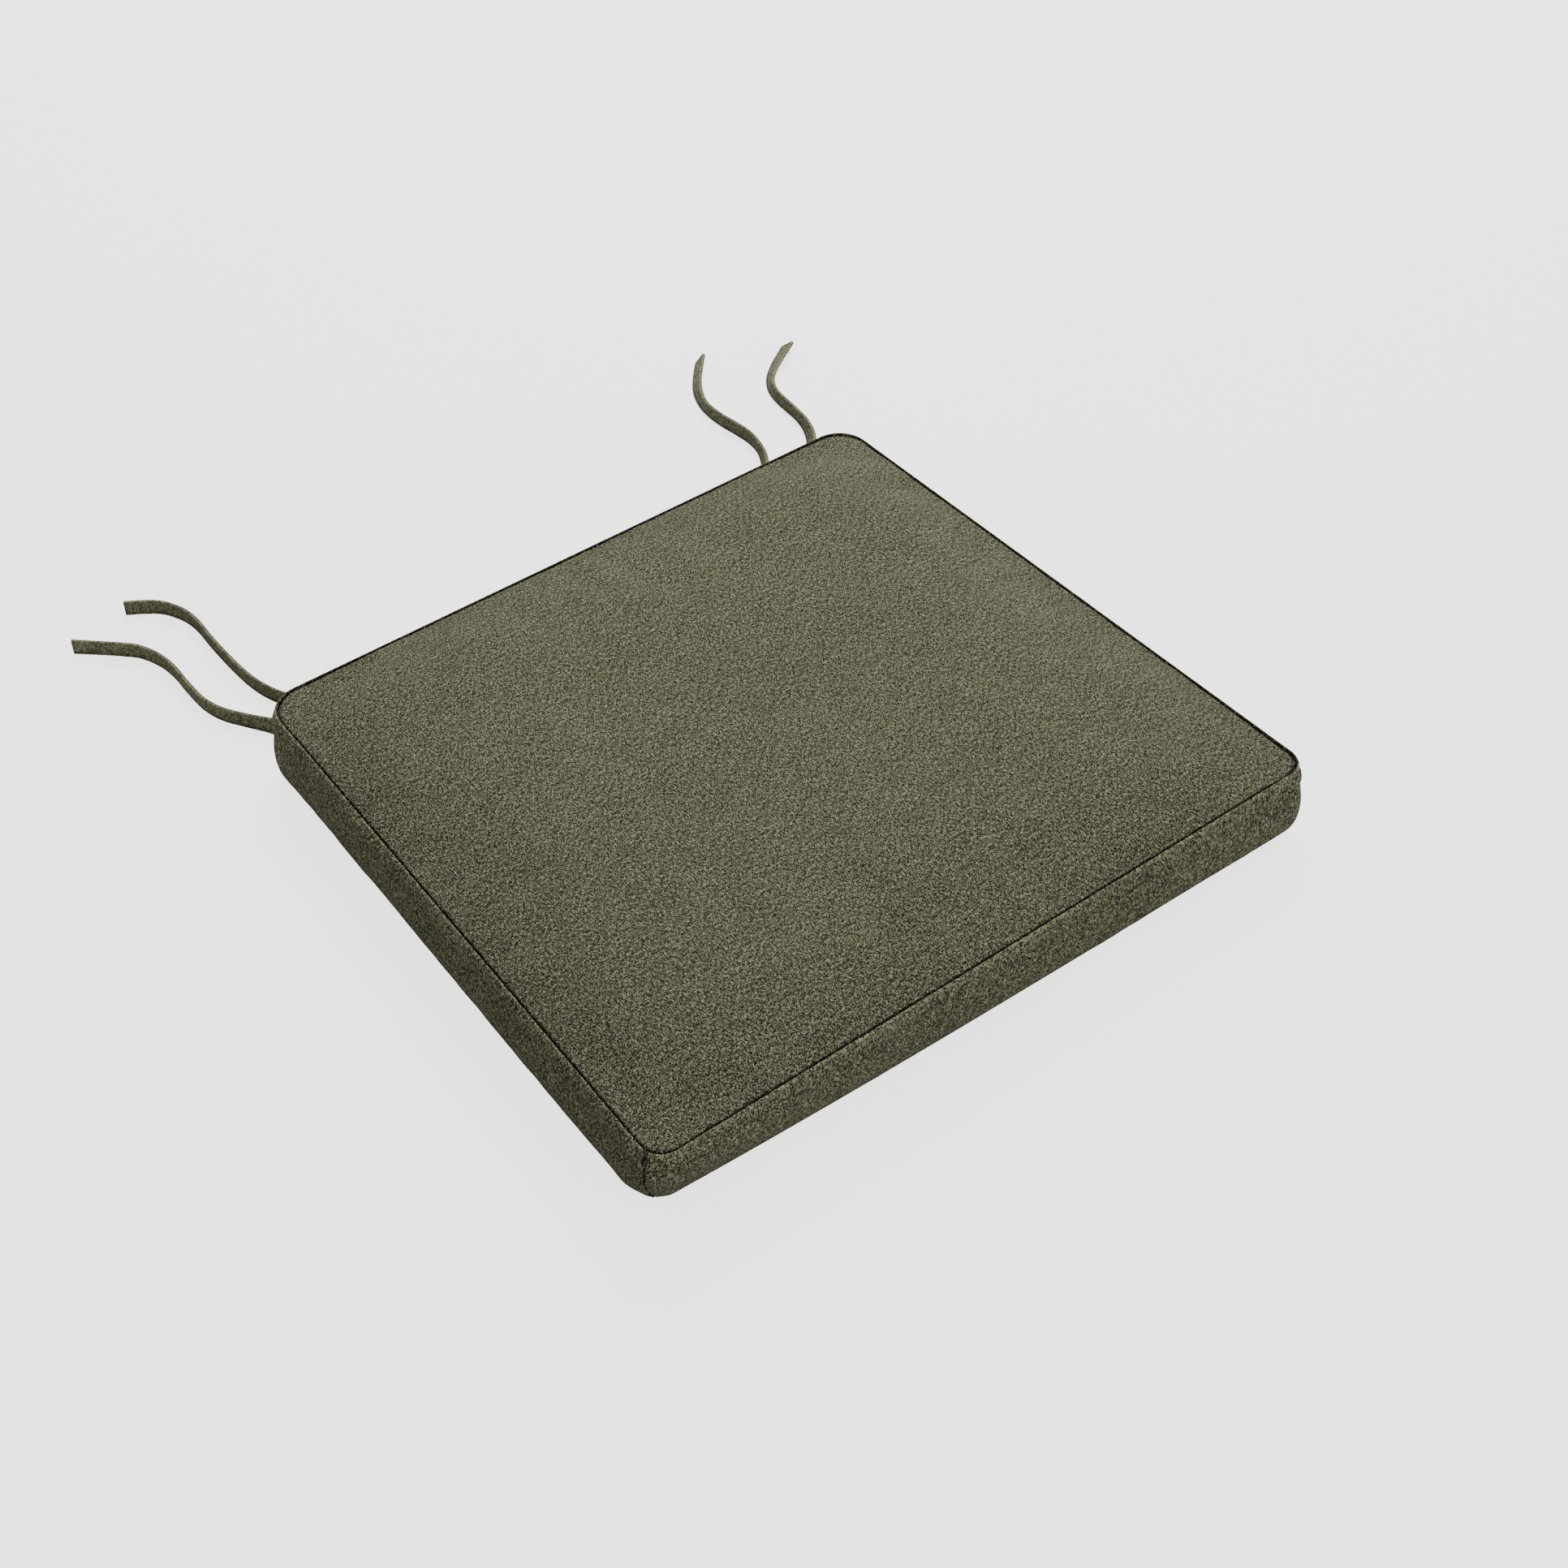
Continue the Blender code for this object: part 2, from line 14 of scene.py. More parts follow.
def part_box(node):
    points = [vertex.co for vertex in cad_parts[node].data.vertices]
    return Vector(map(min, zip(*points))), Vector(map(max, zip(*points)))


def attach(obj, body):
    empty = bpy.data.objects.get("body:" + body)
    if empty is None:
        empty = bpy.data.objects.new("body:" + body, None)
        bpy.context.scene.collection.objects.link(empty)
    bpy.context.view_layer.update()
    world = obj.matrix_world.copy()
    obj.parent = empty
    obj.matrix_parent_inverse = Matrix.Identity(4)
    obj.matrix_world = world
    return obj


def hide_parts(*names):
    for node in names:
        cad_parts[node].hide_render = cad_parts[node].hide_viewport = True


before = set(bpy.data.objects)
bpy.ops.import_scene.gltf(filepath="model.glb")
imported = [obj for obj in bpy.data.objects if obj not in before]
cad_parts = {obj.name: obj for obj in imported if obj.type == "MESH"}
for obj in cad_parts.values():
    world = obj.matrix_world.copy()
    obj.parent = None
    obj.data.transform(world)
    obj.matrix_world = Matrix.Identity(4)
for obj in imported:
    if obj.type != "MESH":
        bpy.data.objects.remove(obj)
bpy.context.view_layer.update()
MM = 0.001


def placed(name, data):
    """A new object of the scene that shows the data."""
    made = bpy.data.objects.new(name, data)
    bpy.context.scene.collection.objects.link(made)
    return made


def distance_along(points):
    steps = np.linalg.norm(np.diff(points, axis=0), axis=1)
    return np.concatenate([[0.0], np.cumsum(steps)])


# ---------------- camera

CAMERA_TARGET = (0.012079, 0.003241, 0.0079)
CAMERA_DISTANCE = 1.55068
CAMERA_AZIMUTH = -37.6745
CAMERA_ELEVATION = 45.1524
CAMERA_LENS = 57.94


def direction(azimuth, elevation):
    """Unit vector from the object towards a place given by its azimuth and elevation."""
    a = math.radians(azimuth)
    e = math.radians(elevation)
    return Vector((math.sin(a) * math.cos(e), -math.cos(a) * math.cos(e), math.sin(e)))


def aim(made, target):
    made.rotation_euler = (Vector(target) - made.location).to_track_quat("-Z", "Y").to_euler()


def make_camera():
    data = bpy.data.cameras.new("camera")
    data.lens = CAMERA_LENS
    data.sensor_width = 36.0
    data.clip_end = 50.0
    made = placed("camera", data)
    away = direction(CAMERA_AZIMUTH, CAMERA_ELEVATION)
    made.location = Vector(CAMERA_TARGET) + away * CAMERA_DISTANCE
    aim(made, CAMERA_TARGET)
    bpy.context.scene.camera = made


# ---------------- node materials

COLOUR_A, COLOUR_B, COLOUR_OUT = 6, 7, 2    # a Mix node's colour sockets


class Nodes:
    """Short calls for building one material's node tree."""

    def __init__(self, name):
        self.material = bpy.data.materials.new(name)
        self.material.use_nodes = True
        self.tree = self.material.node_tree
        self.shader = self.tree.nodes["Principled BSDF"]

    def add(self, kind, **settings):
        node = self.tree.nodes.new("ShaderNode" + kind)
        for key, value in settings.items():
            setattr(node, key, value)
        return node

    def feed(self, socket, value):
        if isinstance(value, bpy.types.NodeSocket):
            self.tree.links.new(value, socket)
        else:
            socket.default_value = value

    def fed(self, node, *pairs):
        """Feeds a node's inputs, each given by its name or number and its value."""
        for key, value in pairs:
            self.feed(node.inputs[key], value)
        return node

    def maths(self, operation, first, second=0.0, third=0.0):
        node = self.add("Math", operation=operation)
        return self.fed(node, (0, first), (1, second), (2, third)).outputs[0]

    def times(self, first, second):
        return self.maths("MULTIPLY", first, second)

    def stretched(self, place, factors):
        node = self.add("VectorMath", operation="MULTIPLY")
        return self.fed(node, (0, place), (1, factors)).outputs[0]

    def object_place(self):
        return self.add("TexCoord").outputs["Object"]

    def noise(self, place, scale, detail=2.0, roughness=0.5):
        node = self.add("TexNoise", noise_dimensions="3D")
        return self.fed(node, ("Vector", place), ("Scale", scale), ("Detail", detail),
                        ("Roughness", roughness)).outputs["Fac"]

    def spread(self, value, low, high, to_low=0.0, to_high=1.0):
        node = self.add("MapRange", clamp=True)
        return self.fed(node, ("Value", value), ("From Min", low), ("From Max", high),
                        ("To Min", to_low), ("To Max", to_high)).outputs[0]

    def mix(self, share, first, second, blend="MIX"):
        node = self.add("Mix", data_type="RGBA", blend_type=blend)
        return self.fed(node, (0, share), (COLOUR_A, first), (COLOUR_B, second)).outputs[COLOUR_OUT]

    def grey(self, value):
        node = self.add("CombineXYZ")
        for socket in node.inputs:
            self.feed(socket, value)
        return node.outputs[0]

    def bump(self, height, distance, strength=1.0):
        node = self.fed(self.add("Bump"), ("Height", height), ("Distance", distance),
                        ("Strength", strength))
        self.feed(self.shader.inputs["Normal"], node.outputs[0])


def rgb(colour, scale=(1.0, 1.0, 1.0)):
    return tuple(channel * factor for channel, factor in zip(colour, scale)) + (1.0,)


WEAVE_PITCH = 0.68 * MM
WEAVE_DEPTH = 0.35 * MM


def woven(name, colour, slub=1.0, contrast=1.0):
    """A dense crepe-like weave: short pale floats lying mostly along v over darker ground, each
    thread going over and under at its own places, with uneven yarn, pale slubs and mottling,
    lightened and darkened by the painted light and shade of the edge attribute."""
    n = Nodes(name)
    place = n.add("Attribute", attribute_name="cloth").outputs["Vector"]
    wander = n.noise(place, 0.42 / WEAVE_PITCH, 1.0)
    wander = n.times(n.maths("SUBTRACT", wander, 0.5), 1.5)
    split = n.fed(n.add("SeparateXYZ"), (0, place))
    u, v = (n.maths("ADD", n.maths("DIVIDE", split.outputs[axis], WEAVE_PITCH), wander)
            for axis in (0, 1))

    def threads(across, along, strength, base):
        random = n.add("TexWhiteNoise", noise_dimensions="1D")
        n.feed(random.inputs["W"], n.maths("FLOOR", across))
        phase = n.times(random.outputs["Value"], 2 * math.pi)
        profile = n.maths("ABSOLUTE", n.maths("SINE", n.times(across, math.pi)))
        wave = n.maths("SINE", n.maths("ADD", n.times(along, math.pi * 0.85), phase))
        return n.times(profile, n.maths("MULTIPLY_ADD", wave, strength, base))

    weave = n.maths("MAXIMUM", threads(u, v, 0.50, 0.50), threads(v, u, 0.34, 0.36))
    yarn = n.noise(n.stretched(place, (1.0, 0.45, 1.0)), 1.05 / WEAVE_PITCH, 1.0, 0.7)
    grain = n.spread(yarn, 0.36, 0.64)
    height = n.maths("ADD", n.times(weave, 0.48), n.times(grain, 0.52))

    dark = 1.0 - 0.95 * contrast
    pale = 1.0 + 2.40 * contrast
    clump = n.noise(n.stretched(place, (1.0, 0.62, 1.0)), 0.42 / WEAVE_PITCH, 0.0)
    lifted = n.maths("MULTIPLY_ADD", n.maths("SUBTRACT", clump, 0.5), 0.50, height)
    tone = n.maths("POWER", n.spread(lifted, 0.22, 0.88), 1.4)
    tone = n.spread(tone, 0.0, 1.0, dark, pale)
    mottle = n.noise(place, 45.0, 3.0, 0.6)
    tone = n.times(tone, n.spread(mottle, 0.30, 0.70, 0.90, 1.10))
    # Painted light and shade: the edge attribute scales the cloth's tone from 0.1 (painted shade) to
    # 1.9 (painted highlight).
    edge = n.add("Attribute", attribute_name="edge").outputs["Fac"]
    tone = n.times(tone, n.spread(edge, -1.0, 1.0, 0.10, 1.90))
    patch = n.noise(place, 9.0, 2.0, 0.5)
    tone = n.times(tone, n.spread(patch, 0.30, 0.70, 0.95, 1.05))
    hue = n.mix(n.spread(n.noise(place, 90.0, 2.0), 0.35, 0.65),
                rgb(colour, (0.985, 1.00, 0.96)), rgb(colour, (1.015, 1.00, 1.04)))
    body = n.mix(1.0, hue, n.grey(tone), "MULTIPLY")
    speck = n.noise(n.stretched(place, (1.0, 0.60, 1.0)), 0.62 / WEAVE_PITCH, 1.0, 0.4)
    where = n.times(n.spread(speck, 0.635, 0.675), 0.95 * slub)
    body = n.mix(where, body, rgb(colour, (3.6, 3.5, 3.9)))
    n.fed(n.shader, ("Base Color", body), ("Roughness", n.spread(height, 0.2, 0.9, 0.97, 0.86)),
          ("Specular IOR Level", 0.18), ("Sheen Weight", 0.04), ("Sheen Roughness", 0.5),
          ("Sheen Tint", (0.75, 0.74, 0.62, 1.0)))
    n.bump(height, WEAVE_DEPTH)
    return n.material


def plain_material(name, colour, roughness, metallic=0.0, scale=400.0, variation=0.12, depth=0.05):
    """A material with fine uneven colour, roughness and relief, whose depth is in millimetres."""
    n = Nodes(name)
    place = n.object_place()
    fine = n.noise(place, scale, 3.0, 0.6)
    slow = n.noise(place, scale / 12)
    tone = n.times(n.spread(fine, 0.3, 0.7, 1 - variation, 1 + variation),
                   n.spread(slow, 0.3, 0.7, 1 - variation / 2, 1 + variation / 2))
    rough = n.spread(fine, 0.3, 0.7, roughness * 0.85, min(1.0, roughness * 1.15))
    n.fed(n.shader, ("Base Color", n.mix(1.0, rgb(colour), n.grey(tone), "MULTIPLY")),
          ("Roughness", rough), ("Metallic", metallic))
    n.bump(fine, depth * MM, 0.6)
    return n.material


# ---------------- mesh building

def object_from(name, points, quads, material=None, cloth=None, edge=None):
    """A mesh object. cloth places its points on flat cloth; edge is painted light and shade: 1 is
    a painted highlight where a fold would catch the light and -1 painted shade deep in a seam."""
    mesh = bpy.data.meshes.new(name)
    mesh.from_pydata([tuple(p) for p in points], [], [tuple(int(i) for i in q) for q in quads])
    mesh.update()
    mesh.shade_smooth()
    if material is not None:
        mesh.materials.append(material)
    for layer, kind, field, values in (("cloth", "FLOAT_VECTOR", "vector", cloth),
                                       ("edge", "FLOAT", "value", edge)):
        if values is not None:
            data = mesh.attributes.new(layer, kind, "POINT").data
            data.foreach_set(field, np.asarray(values, dtype=np.float32).ravel())
    return placed(name, mesh)


def strip_quads(rows, count, first=0, closed=True, flip=False):
    """Faces between rows of points numbered one row after another."""
    quads = []
    for row in range(rows - 1):
        low = first + row * count
        high = low + count
        for column in range(count if closed else count - 1):
            after = (column + 1) % count
            quads.append((low + column, low + after, high + after, high + column))
    return [quad[::-1] for quad in quads] if flip else quads


def end_faces(rows, count, first=0, flip=False):
    """Faces that close the first and the last of such rows."""
    last = first + (rows - 1) * count
    ends = [tuple(range(first, first + count)), tuple(range(last, last + count))[::-1]]
    return [face[::-1] for face in ends] if flip else ends


def patch_quads(number):
    """Faces of a grid of point numbers."""
    return [(number[r, c], number[r, c + 1], number[r + 1, c + 1], number[r + 1, c])
            for r in range(len(number) - 1) for c in range(number.shape[1] - 1)]


# ---------------- ties

TIE_WIDTH = 12.0 * MM
TIE_THICKNESS = 2.6 * MM
FLOOR_GAP = 0.1 * MM
TIE_STEP = 2.0 * MM

# Knots of the ties in millimetres: x, y and roll in degrees (0 lying flat, 90 on edge). The first
# knots are lifted off the floor by TIE_LIFTS, the others by nothing.
TIE_LIFTS = (8, 7.6, 5.8, 3.9, 1.6, 0.4)
TIE_ROUTES = {
    "tie_left_outer": (
        (-204, 207.8, 0), (-204, 212.5, 0), (-204.1, 218.5, 0), (-204.5, 225.5, -20),
        (-206.5, 234, -55), (-211.2, 243, -80), (-221, 257.3, -90), (-229.8, 271.3, -90),
        (-234.5, 286.6, -90), (-235.3, 306.1, -90), (-235, 325, -90), (-237.2, 340.7, -90),
        (-243.3, 355.5, -90), (-251.2, 364.5, -90), (-260, 372.8, -90), (-276, 387.2, -90),
    ),
    "tie_left_inner": (
        (-174, 207.8, 0), (-174, 212.5, 0), (-174.1, 218.5, 0), (-175, 227, -25), (-179, 238, -60),
        (-185.3, 249, -85), (-193.2, 262.4, -90), (-198.5, 277, -90), (-201, 291.3, -90),
        (-202.2, 311, -90), (-202.3, 334.6, -90), (-201.6, 356, -90), (-204, 371.5, -90),
        (-211.5, 386, -90), (-221.5, 394.5, -90), (-231.7, 400.9, -90),
    ),
    "tie_right_inner": (
        (174, 207.8, 0), (174, 212.5, 0), (174.1, 218.5, 0), (175.2, 228, -25), (180, 240, -60),
        (188.8, 253, -68), (199.3, 268.5, -76), (205.2, 283.5, -90), (206.8, 297.2, -90),
        (205.4, 310.1, -90), (203.1, 325, -90), (202.8, 340, -90), (206, 353, -78),
        (213.6, 368, -62), (224.8, 382.3, -55), (235.5, 394.2, -55),
    ),
    "tie_right_outer": (
        (204, 207.8, 0), (204, 212.5, 0), (204.2, 218.5, 0), (207, 228, -25), (214, 240, -50),
        (224.5, 251, -55), (239.5, 266, -62), (247, 281.5, -78), (250, 296.3, -90),
        (251, 311.8, -90), (252.2, 323, -88), (256.5, 335, -74), (266, 347, -52), (278, 356.7, -42),
        (289, 364, -38), (298.5, 370, -38),
    ),
}


def smooth_path(route):
    """Points about a step apart on the curve through a route's knots: x, y, z and roll."""
    knots = []
    for (x, y, degrees), lift in zip(route, TIE_LIFTS + (0,) * len(route)):
        roll = math.radians(degrees)
        edge = (TIE_WIDTH - TIE_THICKNESS) / 2 * abs(math.sin(roll))
        height = FLOOR_GAP + edge + TIE_THICKNESS / 2 + lift * MM
        knots.append(np.array((x * MM, y * MM, height, roll)))
    knots = [2 * knots[0] - knots[1]] + knots + [2 * knots[-1] - knots[-2]]
    path = []
    for index in range(1, len(knots) - 2):
        before, start, end, after = knots[index - 1:index + 3]
        pieces = max(1, round(float(np.linalg.norm((end - start)[:3])) / TIE_STEP))
        for piece in range(pieces):
            t = piece / pieces
            path.append(0.5 * (2 * start + (end - before) * t
                               + (2 * before - 5 * start + 4 * end - after) * t * t
                               + (3 * start - before - 3 * end + after) * t * t * t))
    path.append(knots[-2])
    return np.array(path)


def tie_section():
    """Half widths (across, through) of the folded band, round the section. One edge is the fold,
    the other is the closed, stitched edge, which is a little thinner."""
    half, thick = TIE_WIDTH / 2, TIE_THICKNESS / 2
    profile = [(-1.0, 0.25), (-0.965, 0.62), (-0.89, 0.92), (-0.70, 1.0), (-0.45, 0.94),
               (-0.15, 0.90), (0.15, 0.92), (0.42, 0.98), (0.60, 0.86), (0.66, 0.74),
               (0.72, 0.84), (0.86, 0.86), (0.96, 0.62), (1.0, 0.25)]
    return ([(across * half, through * thick) for across, through in profile]
            + [(across * half, -through * thick) for across, through in profile[::-1]])


def make_tie(name, route, seed):
    path = smooth_path(route)
    centre = path[:, :3]
    along = distance_along(centre)
    heading = np.gradient(centre, axis=0)
    heading /= np.linalg.norm(heading, axis=1)[:, None]
    section = tie_section()
    rng = np.random.default_rng(seed)
    phases = rng.uniform(0, 2 * math.pi, 4)
    points, cloth, edge = [], [], []
    # Painted light: a painted highlight along both edges of each tie and painted shade in the groove of
    # its stitching.
    tie_painted_light = [0.5 if abs(across) > 5.6 * MM else -0.55 if 3.5 * MM < across < 4.2 * MM else 0.0
             for across, _ in section]
    for index, place in enumerate(centre):
        ahead = heading[index]
        side = np.cross((0.0, 0.0, 1.0), ahead)
        side /= np.linalg.norm(side)
        up = np.cross(ahead, side)
        roll = path[index, 3]
        wide = side * math.cos(roll) + up * math.sin(roll)
        through = -side * math.sin(roll) + up * math.cos(roll)
        at = along[index]
        swell = 1 + 0.035 * math.sin(at / 0.021 + phases[0]) + 0.02 * math.sin(at / 0.008 + phases[1])
        narrow = 1 - 0.03 * (0.5 + 0.5 * math.sin(at / 0.013 + phases[2]))
        for order, (across, thick) in enumerate(section):
            points.append(place + wide * across * narrow + through * thick * swell)
            cloth.append((at, across + (0.03 if thick < 0 else 0.0), seed * 0.37))
            edge.append(tie_painted_light[order])
    rows, count = len(centre), len(section)
    faces = strip_quads(rows, count) + end_faces(rows, count)
    made = object_from(name, points, faces, TIE_FABRIC_PAINTED_LIGHTER, cloth, edge)
    return made, centre, float(along[-1])


# Painted light: the ties' cloth is the pad's cloth made about half as bright again, standing in for the
# extra light that falls on the ties.
TIE_FABRIC_PAINTED_LIGHTER = woven("tie_fabric_painted_lighter", (0.185, 0.187, 0.117), slub=0.5, contrast=0.62)

make_camera()
for number, (node, route) in enumerate(TIE_ROUTES.items()):
    tie, centre, length = make_tie("band_" + node, route, number + 1)
    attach(tie, "cushion")
    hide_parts(node)

# ---------------- plan outline

BULGE = 4.2 * MM
HALF_FRONT = 0.2413 - BULGE
HALF_BACK = 0.2290 - BULGE
FRONT_CORNER = 13.0 * MM
BACK_CORNER = 21.0 * MM
CORNER_GROWTH = 0.4
PLACKET_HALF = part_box("rear_placket_lower")[1].x + 0.3 * MM
LOW_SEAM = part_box("front_boxing")[0].z
HIGH_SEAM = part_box("front_boxing")[1].z
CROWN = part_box("top_panel")[1].z
SEAM_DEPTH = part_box("left_boxing")[1].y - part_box("front_boxing")[0].y - 2 * BULGE
TOP_ROLL = 75.0 * MM
BOTTOM_ROLL = 45.0 * MM
ROLL_POWER = 2.2
FOAM_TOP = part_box("foam_core")[1].z
FOAM_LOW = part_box("foam_core")[0].z


class Plan:
    """Points round the pad at any inset from the seam line, always in the same order: from the
    middle of the front left corner along the front, right, back and left sides. It holds the
    seam line, the distance run along it to each point, its length and the way outwards."""

    def __init__(self, arc_steps, front_steps, side_steps):
        self.arc = arc_steps
        self.front = front_steps + 2 * arc_steps
        self.side = side_steps + 2 * arc_steps
        self.straight = (front_steps, side_steps, front_steps, side_steps)
        self.count = 2 * (self.front + self.side)
        self.seam = self.at(0.0)
        after = np.roll(self.seam, -1, axis=0)
        steps = np.linalg.norm(after - self.seam, axis=1)
        self.run = np.concatenate([[0.0], np.cumsum(steps)[:-1]])
        self.length = float(steps.sum())
        ahead = after - np.roll(self.seam, 1, axis=0)
        ahead /= np.linalg.norm(ahead, axis=1)[:, None]
        self.out = np.stack([ahead[:, 1], -ahead[:, 0]], 1)

    def at(self, inset):
        lean = math.hypot(1, (HALF_FRONT - HALF_BACK) / SEAM_DEPTH)
        front = -SEAM_DEPTH / 2 + inset
        back = SEAM_DEPTH / 2 - inset

        def half(y):
            share = (y + SEAM_DEPTH / 2) / SEAM_DEPTH
            return HALF_FRONT + (HALF_BACK - HALF_FRONT) * share - inset * lean

        corners = [np.array(p) for p in ((-half(front), front), (half(front), front),
                                         (half(back), back), (-half(back), back))]
        grown = inset * CORNER_GROWTH if inset > 0 else -inset
        radii = [FRONT_CORNER + grown] * 2 + [BACK_CORNER + grown] * 2
        arcs = []
        for i, corner in enumerate(corners):
            to_before, to_after = (way / np.linalg.norm(way) for way in
                                   (corners[i - 1] - corner, corners[(i + 1) % 4] - corner))
            opening = math.acos(float(np.dot(to_before, to_after)))
            bisector = to_before + to_after
            bisector = bisector / np.linalg.norm(bisector)
            centre = corner + bisector * (radii[i] / math.sin(opening / 2))
            start = corner + to_before * (radii[i] / math.tan(opening / 2)) - centre
            turn = math.pi - opening
            angles = np.linspace(0, turn, 2 * self.arc + 1)
            cos, sin = np.cos(angles), np.sin(angles)
            arcs.append(np.stack([centre[0] + cos * start[0] - sin * start[1],
                                  centre[1] + sin * start[0] + cos * start[1]], 1))
        points = []
        for i in range(4):
            leave = arcs[i][self.arc:]
            enter = arcs[(i + 1) % 4][:self.arc + 1]
            between = np.linspace(leave[-1], enter[0], self.straight[i] + 1)[1:-1]
            points += [leave, between, enter[:-1]]
        return np.concatenate(points)

    def patch(self, ring):
        """Grid of points that fills the ring: rows from front to back, columns left to right."""
        f, s = self.front, self.side
        front = ring[:f + 1]
        right = ring[f:f + s + 1]
        back = ring[f + s:2 * f + s + 1][::-1]
        left = np.concatenate([ring[2 * f + s:], ring[:1]])[::-1]
        u = np.linspace(0, 1, f + 1)[None, :, None]
        v = np.linspace(0, 1, s + 1)[:, None, None]
        return ((1 - v) * front[None] + v * back[None] + (1 - u) * left[:, None] + u * right[:, None]
                - (1 - u) * (1 - v) * front[0] - u * (1 - v) * front[-1]
                - (1 - u) * v * back[0] - u * v * back[-1])

    def border(self):
        """Rows and columns of a patch's edge, in the ring's order."""
        f, s = self.front, self.side
        return ([(0, c) for c in range(f)] + [(r, f) for r in range(s)]
                + [(s, f - c) for c in range(f)] + [(s - r, 0) for r in range(s)])


def waves(points, length, seed, count=18, spread=0.45):
    """Smooth seeded noise of about -1 to 1 at points, with bumps of about half a wavelength."""
    rng = np.random.default_rng(seed)
    points = np.asarray(points, dtype=float)
    total = np.zeros(len(points))
    for _ in range(count):
        turn = rng.normal(size=points.shape[1])
        turn /= np.linalg.norm(turn)
        size = length * (1 + spread * rng.uniform(-1, 1))
        total += np.sin(points @ turn * (2 * math.pi / size) + rng.uniform(0, 2 * math.pi))
    return total * math.sqrt(2.0 / count) / 1.6


def smoothstep(low, high, value):
    t = np.clip((value - low) / (high - low), 0, 1)
    return t * t * (3 - 2 * t)


def crown(inset):
    along = np.clip((inset - 1.0 * MM) / TOP_ROLL, 0, 1)
    return 0.3 * MM + (CROWN - HIGH_SEAM - 0.3 * MM) * (1 - (1 - along) ** ROLL_POWER)


WIDEST = 0.42


def fullness(share):
    """How far the boxing stands out at a share of its height, as a share of the most."""
    low = 1 - np.clip(1 - share / WIDEST, 0, 1) ** 3.4
    high = 1 - np.clip((share - WIDEST) / (1 - WIDEST), 0, 1) ** 1.6
    return np.minimum(low, high)


FINE = Plan(9, 140, 122)
COARSE = Plan(3, 52, 46)
RADIUS_OF_RUN = FINE.length / (2 * math.pi)
FINE_TURN = RADIUS_OF_RUN * np.stack([np.cos(FINE.run / RADIUS_OF_RUN),
                                      np.sin(FINE.run / RADIUS_OF_RUN)], 1)
BAND_HEIGHT = HIGH_SEAM - LOW_SEAM
TUCK_LIFT = 6.0 * MM
TUCK_DRAW = 5.0 * MM


def along_front(points):
    return np.clip((points[:, 0] + HALF_FRONT) / (2 * HALF_FRONT), 0, 1)


def tuck(points):
    """Share by which the lower front edge is tucked under, most at the front left corner."""
    near_front = smoothstep(-SEAM_DEPTH / 2 + 0.030, -SEAM_DEPTH / 2 + 0.001, points[:, 1])
    return (1.30 * np.exp(-2.4 * along_front(points)) - 0.27) * near_front


def tucked(points, out, share_down):
    """Moves points of the lower edge up and inwards by the tuck."""
    amount = tuck(points) * share_down
    moved = points.copy()
    moved[:, 2] += TUCK_LIFT * amount
    moved[:, :2] -= out * (TUCK_DRAW * amount)[:, None]
    return moved


def near_side(out):
    """1 along the front and left of the pad, 0 along the right and back."""
    return smoothstep(-0.5, 0.5, -out[:, 0] - out[:, 1])


def side_amounts(plan):
    """How far the boxing bulges and how far the bottom seam hangs below the CAD's, at each
    point of the seam line. The sides are fuller and hang lower than the front and back."""
    across, depth = plan.out.T
    sides = across ** 2
    front = np.where(depth < 0, depth ** 2, 0)
    back = np.where(depth > 0, depth ** 2, 0)
    right = along_front(plan.seam)
    full = 6.0 * sides + (3.4 + 2.8 * right) * front + 4.2 * back
    behind = smoothstep(0.02, 0.26, plan.seam[:, 1] / SEAM_DEPTH + 0.5)
    drop = (2.6 + 2.4 * behind) * sides + (1.0 + 1.2 * right) * front
    return full * MM, drop * MM


def ring_at(plan, inset, height, share_down=0.0):
    flat = plan.at(inset)
    ring = np.column_stack([flat, np.full(len(flat), height)])
    return tucked(ring, plan.out, share_down) if share_down > 0 else ring


def band_ring(plan, share, extra=0.0, rise=0.0, factor=1.0):
    """A ring of the boxing at a share of its height, with an extra inset and rise."""
    full, drop = side_amounts(plan)
    if extra < 0:
        extra = extra * (0.55 + 0.45 * near_side(plan.out))
    flat = plan.seam + plan.out * (full * factor * float(fullness(share)) - extra)[:, None]
    low = LOW_SEAM - drop
    ring = np.column_stack([flat, HIGH_SEAM - (HIGH_SEAM - low) * (1 - share) + rise])
    return tucked(ring, plan.out, float(smoothstep(0.75, 0.0, share)))


def belly_ring(plan, inset, rise=0.0):
    """A ring of the bottom panel at an inset, or of its hidden allowance where rise is given."""
    low = LOW_SEAM - side_amounts(plan)[1]
    along = np.clip((inset - 1.5 * MM) / BOTTOM_ROLL, 0, 1)
    height = low - 0.3 * MM - (low - 0.3 * MM) * (1 - (1 - along) ** ROLL_POWER) + rise
    ring = np.column_stack([plan.at(inset), height])
    return tucked(ring, plan.out, float(smoothstep(40 * MM, 2 * MM, inset)))


# ---------------- stuffing under pressure

START_CROWN = 0.80
START_BULGE = 0.85
MOST_MOVE = 6.0 * MM
SIM_FRAMES = 20


def start_height(inset, factor=START_CROWN):
    return HIGH_SEAM + 0.3 * MM + (float(crown(inset)) - 0.3 * MM) * factor


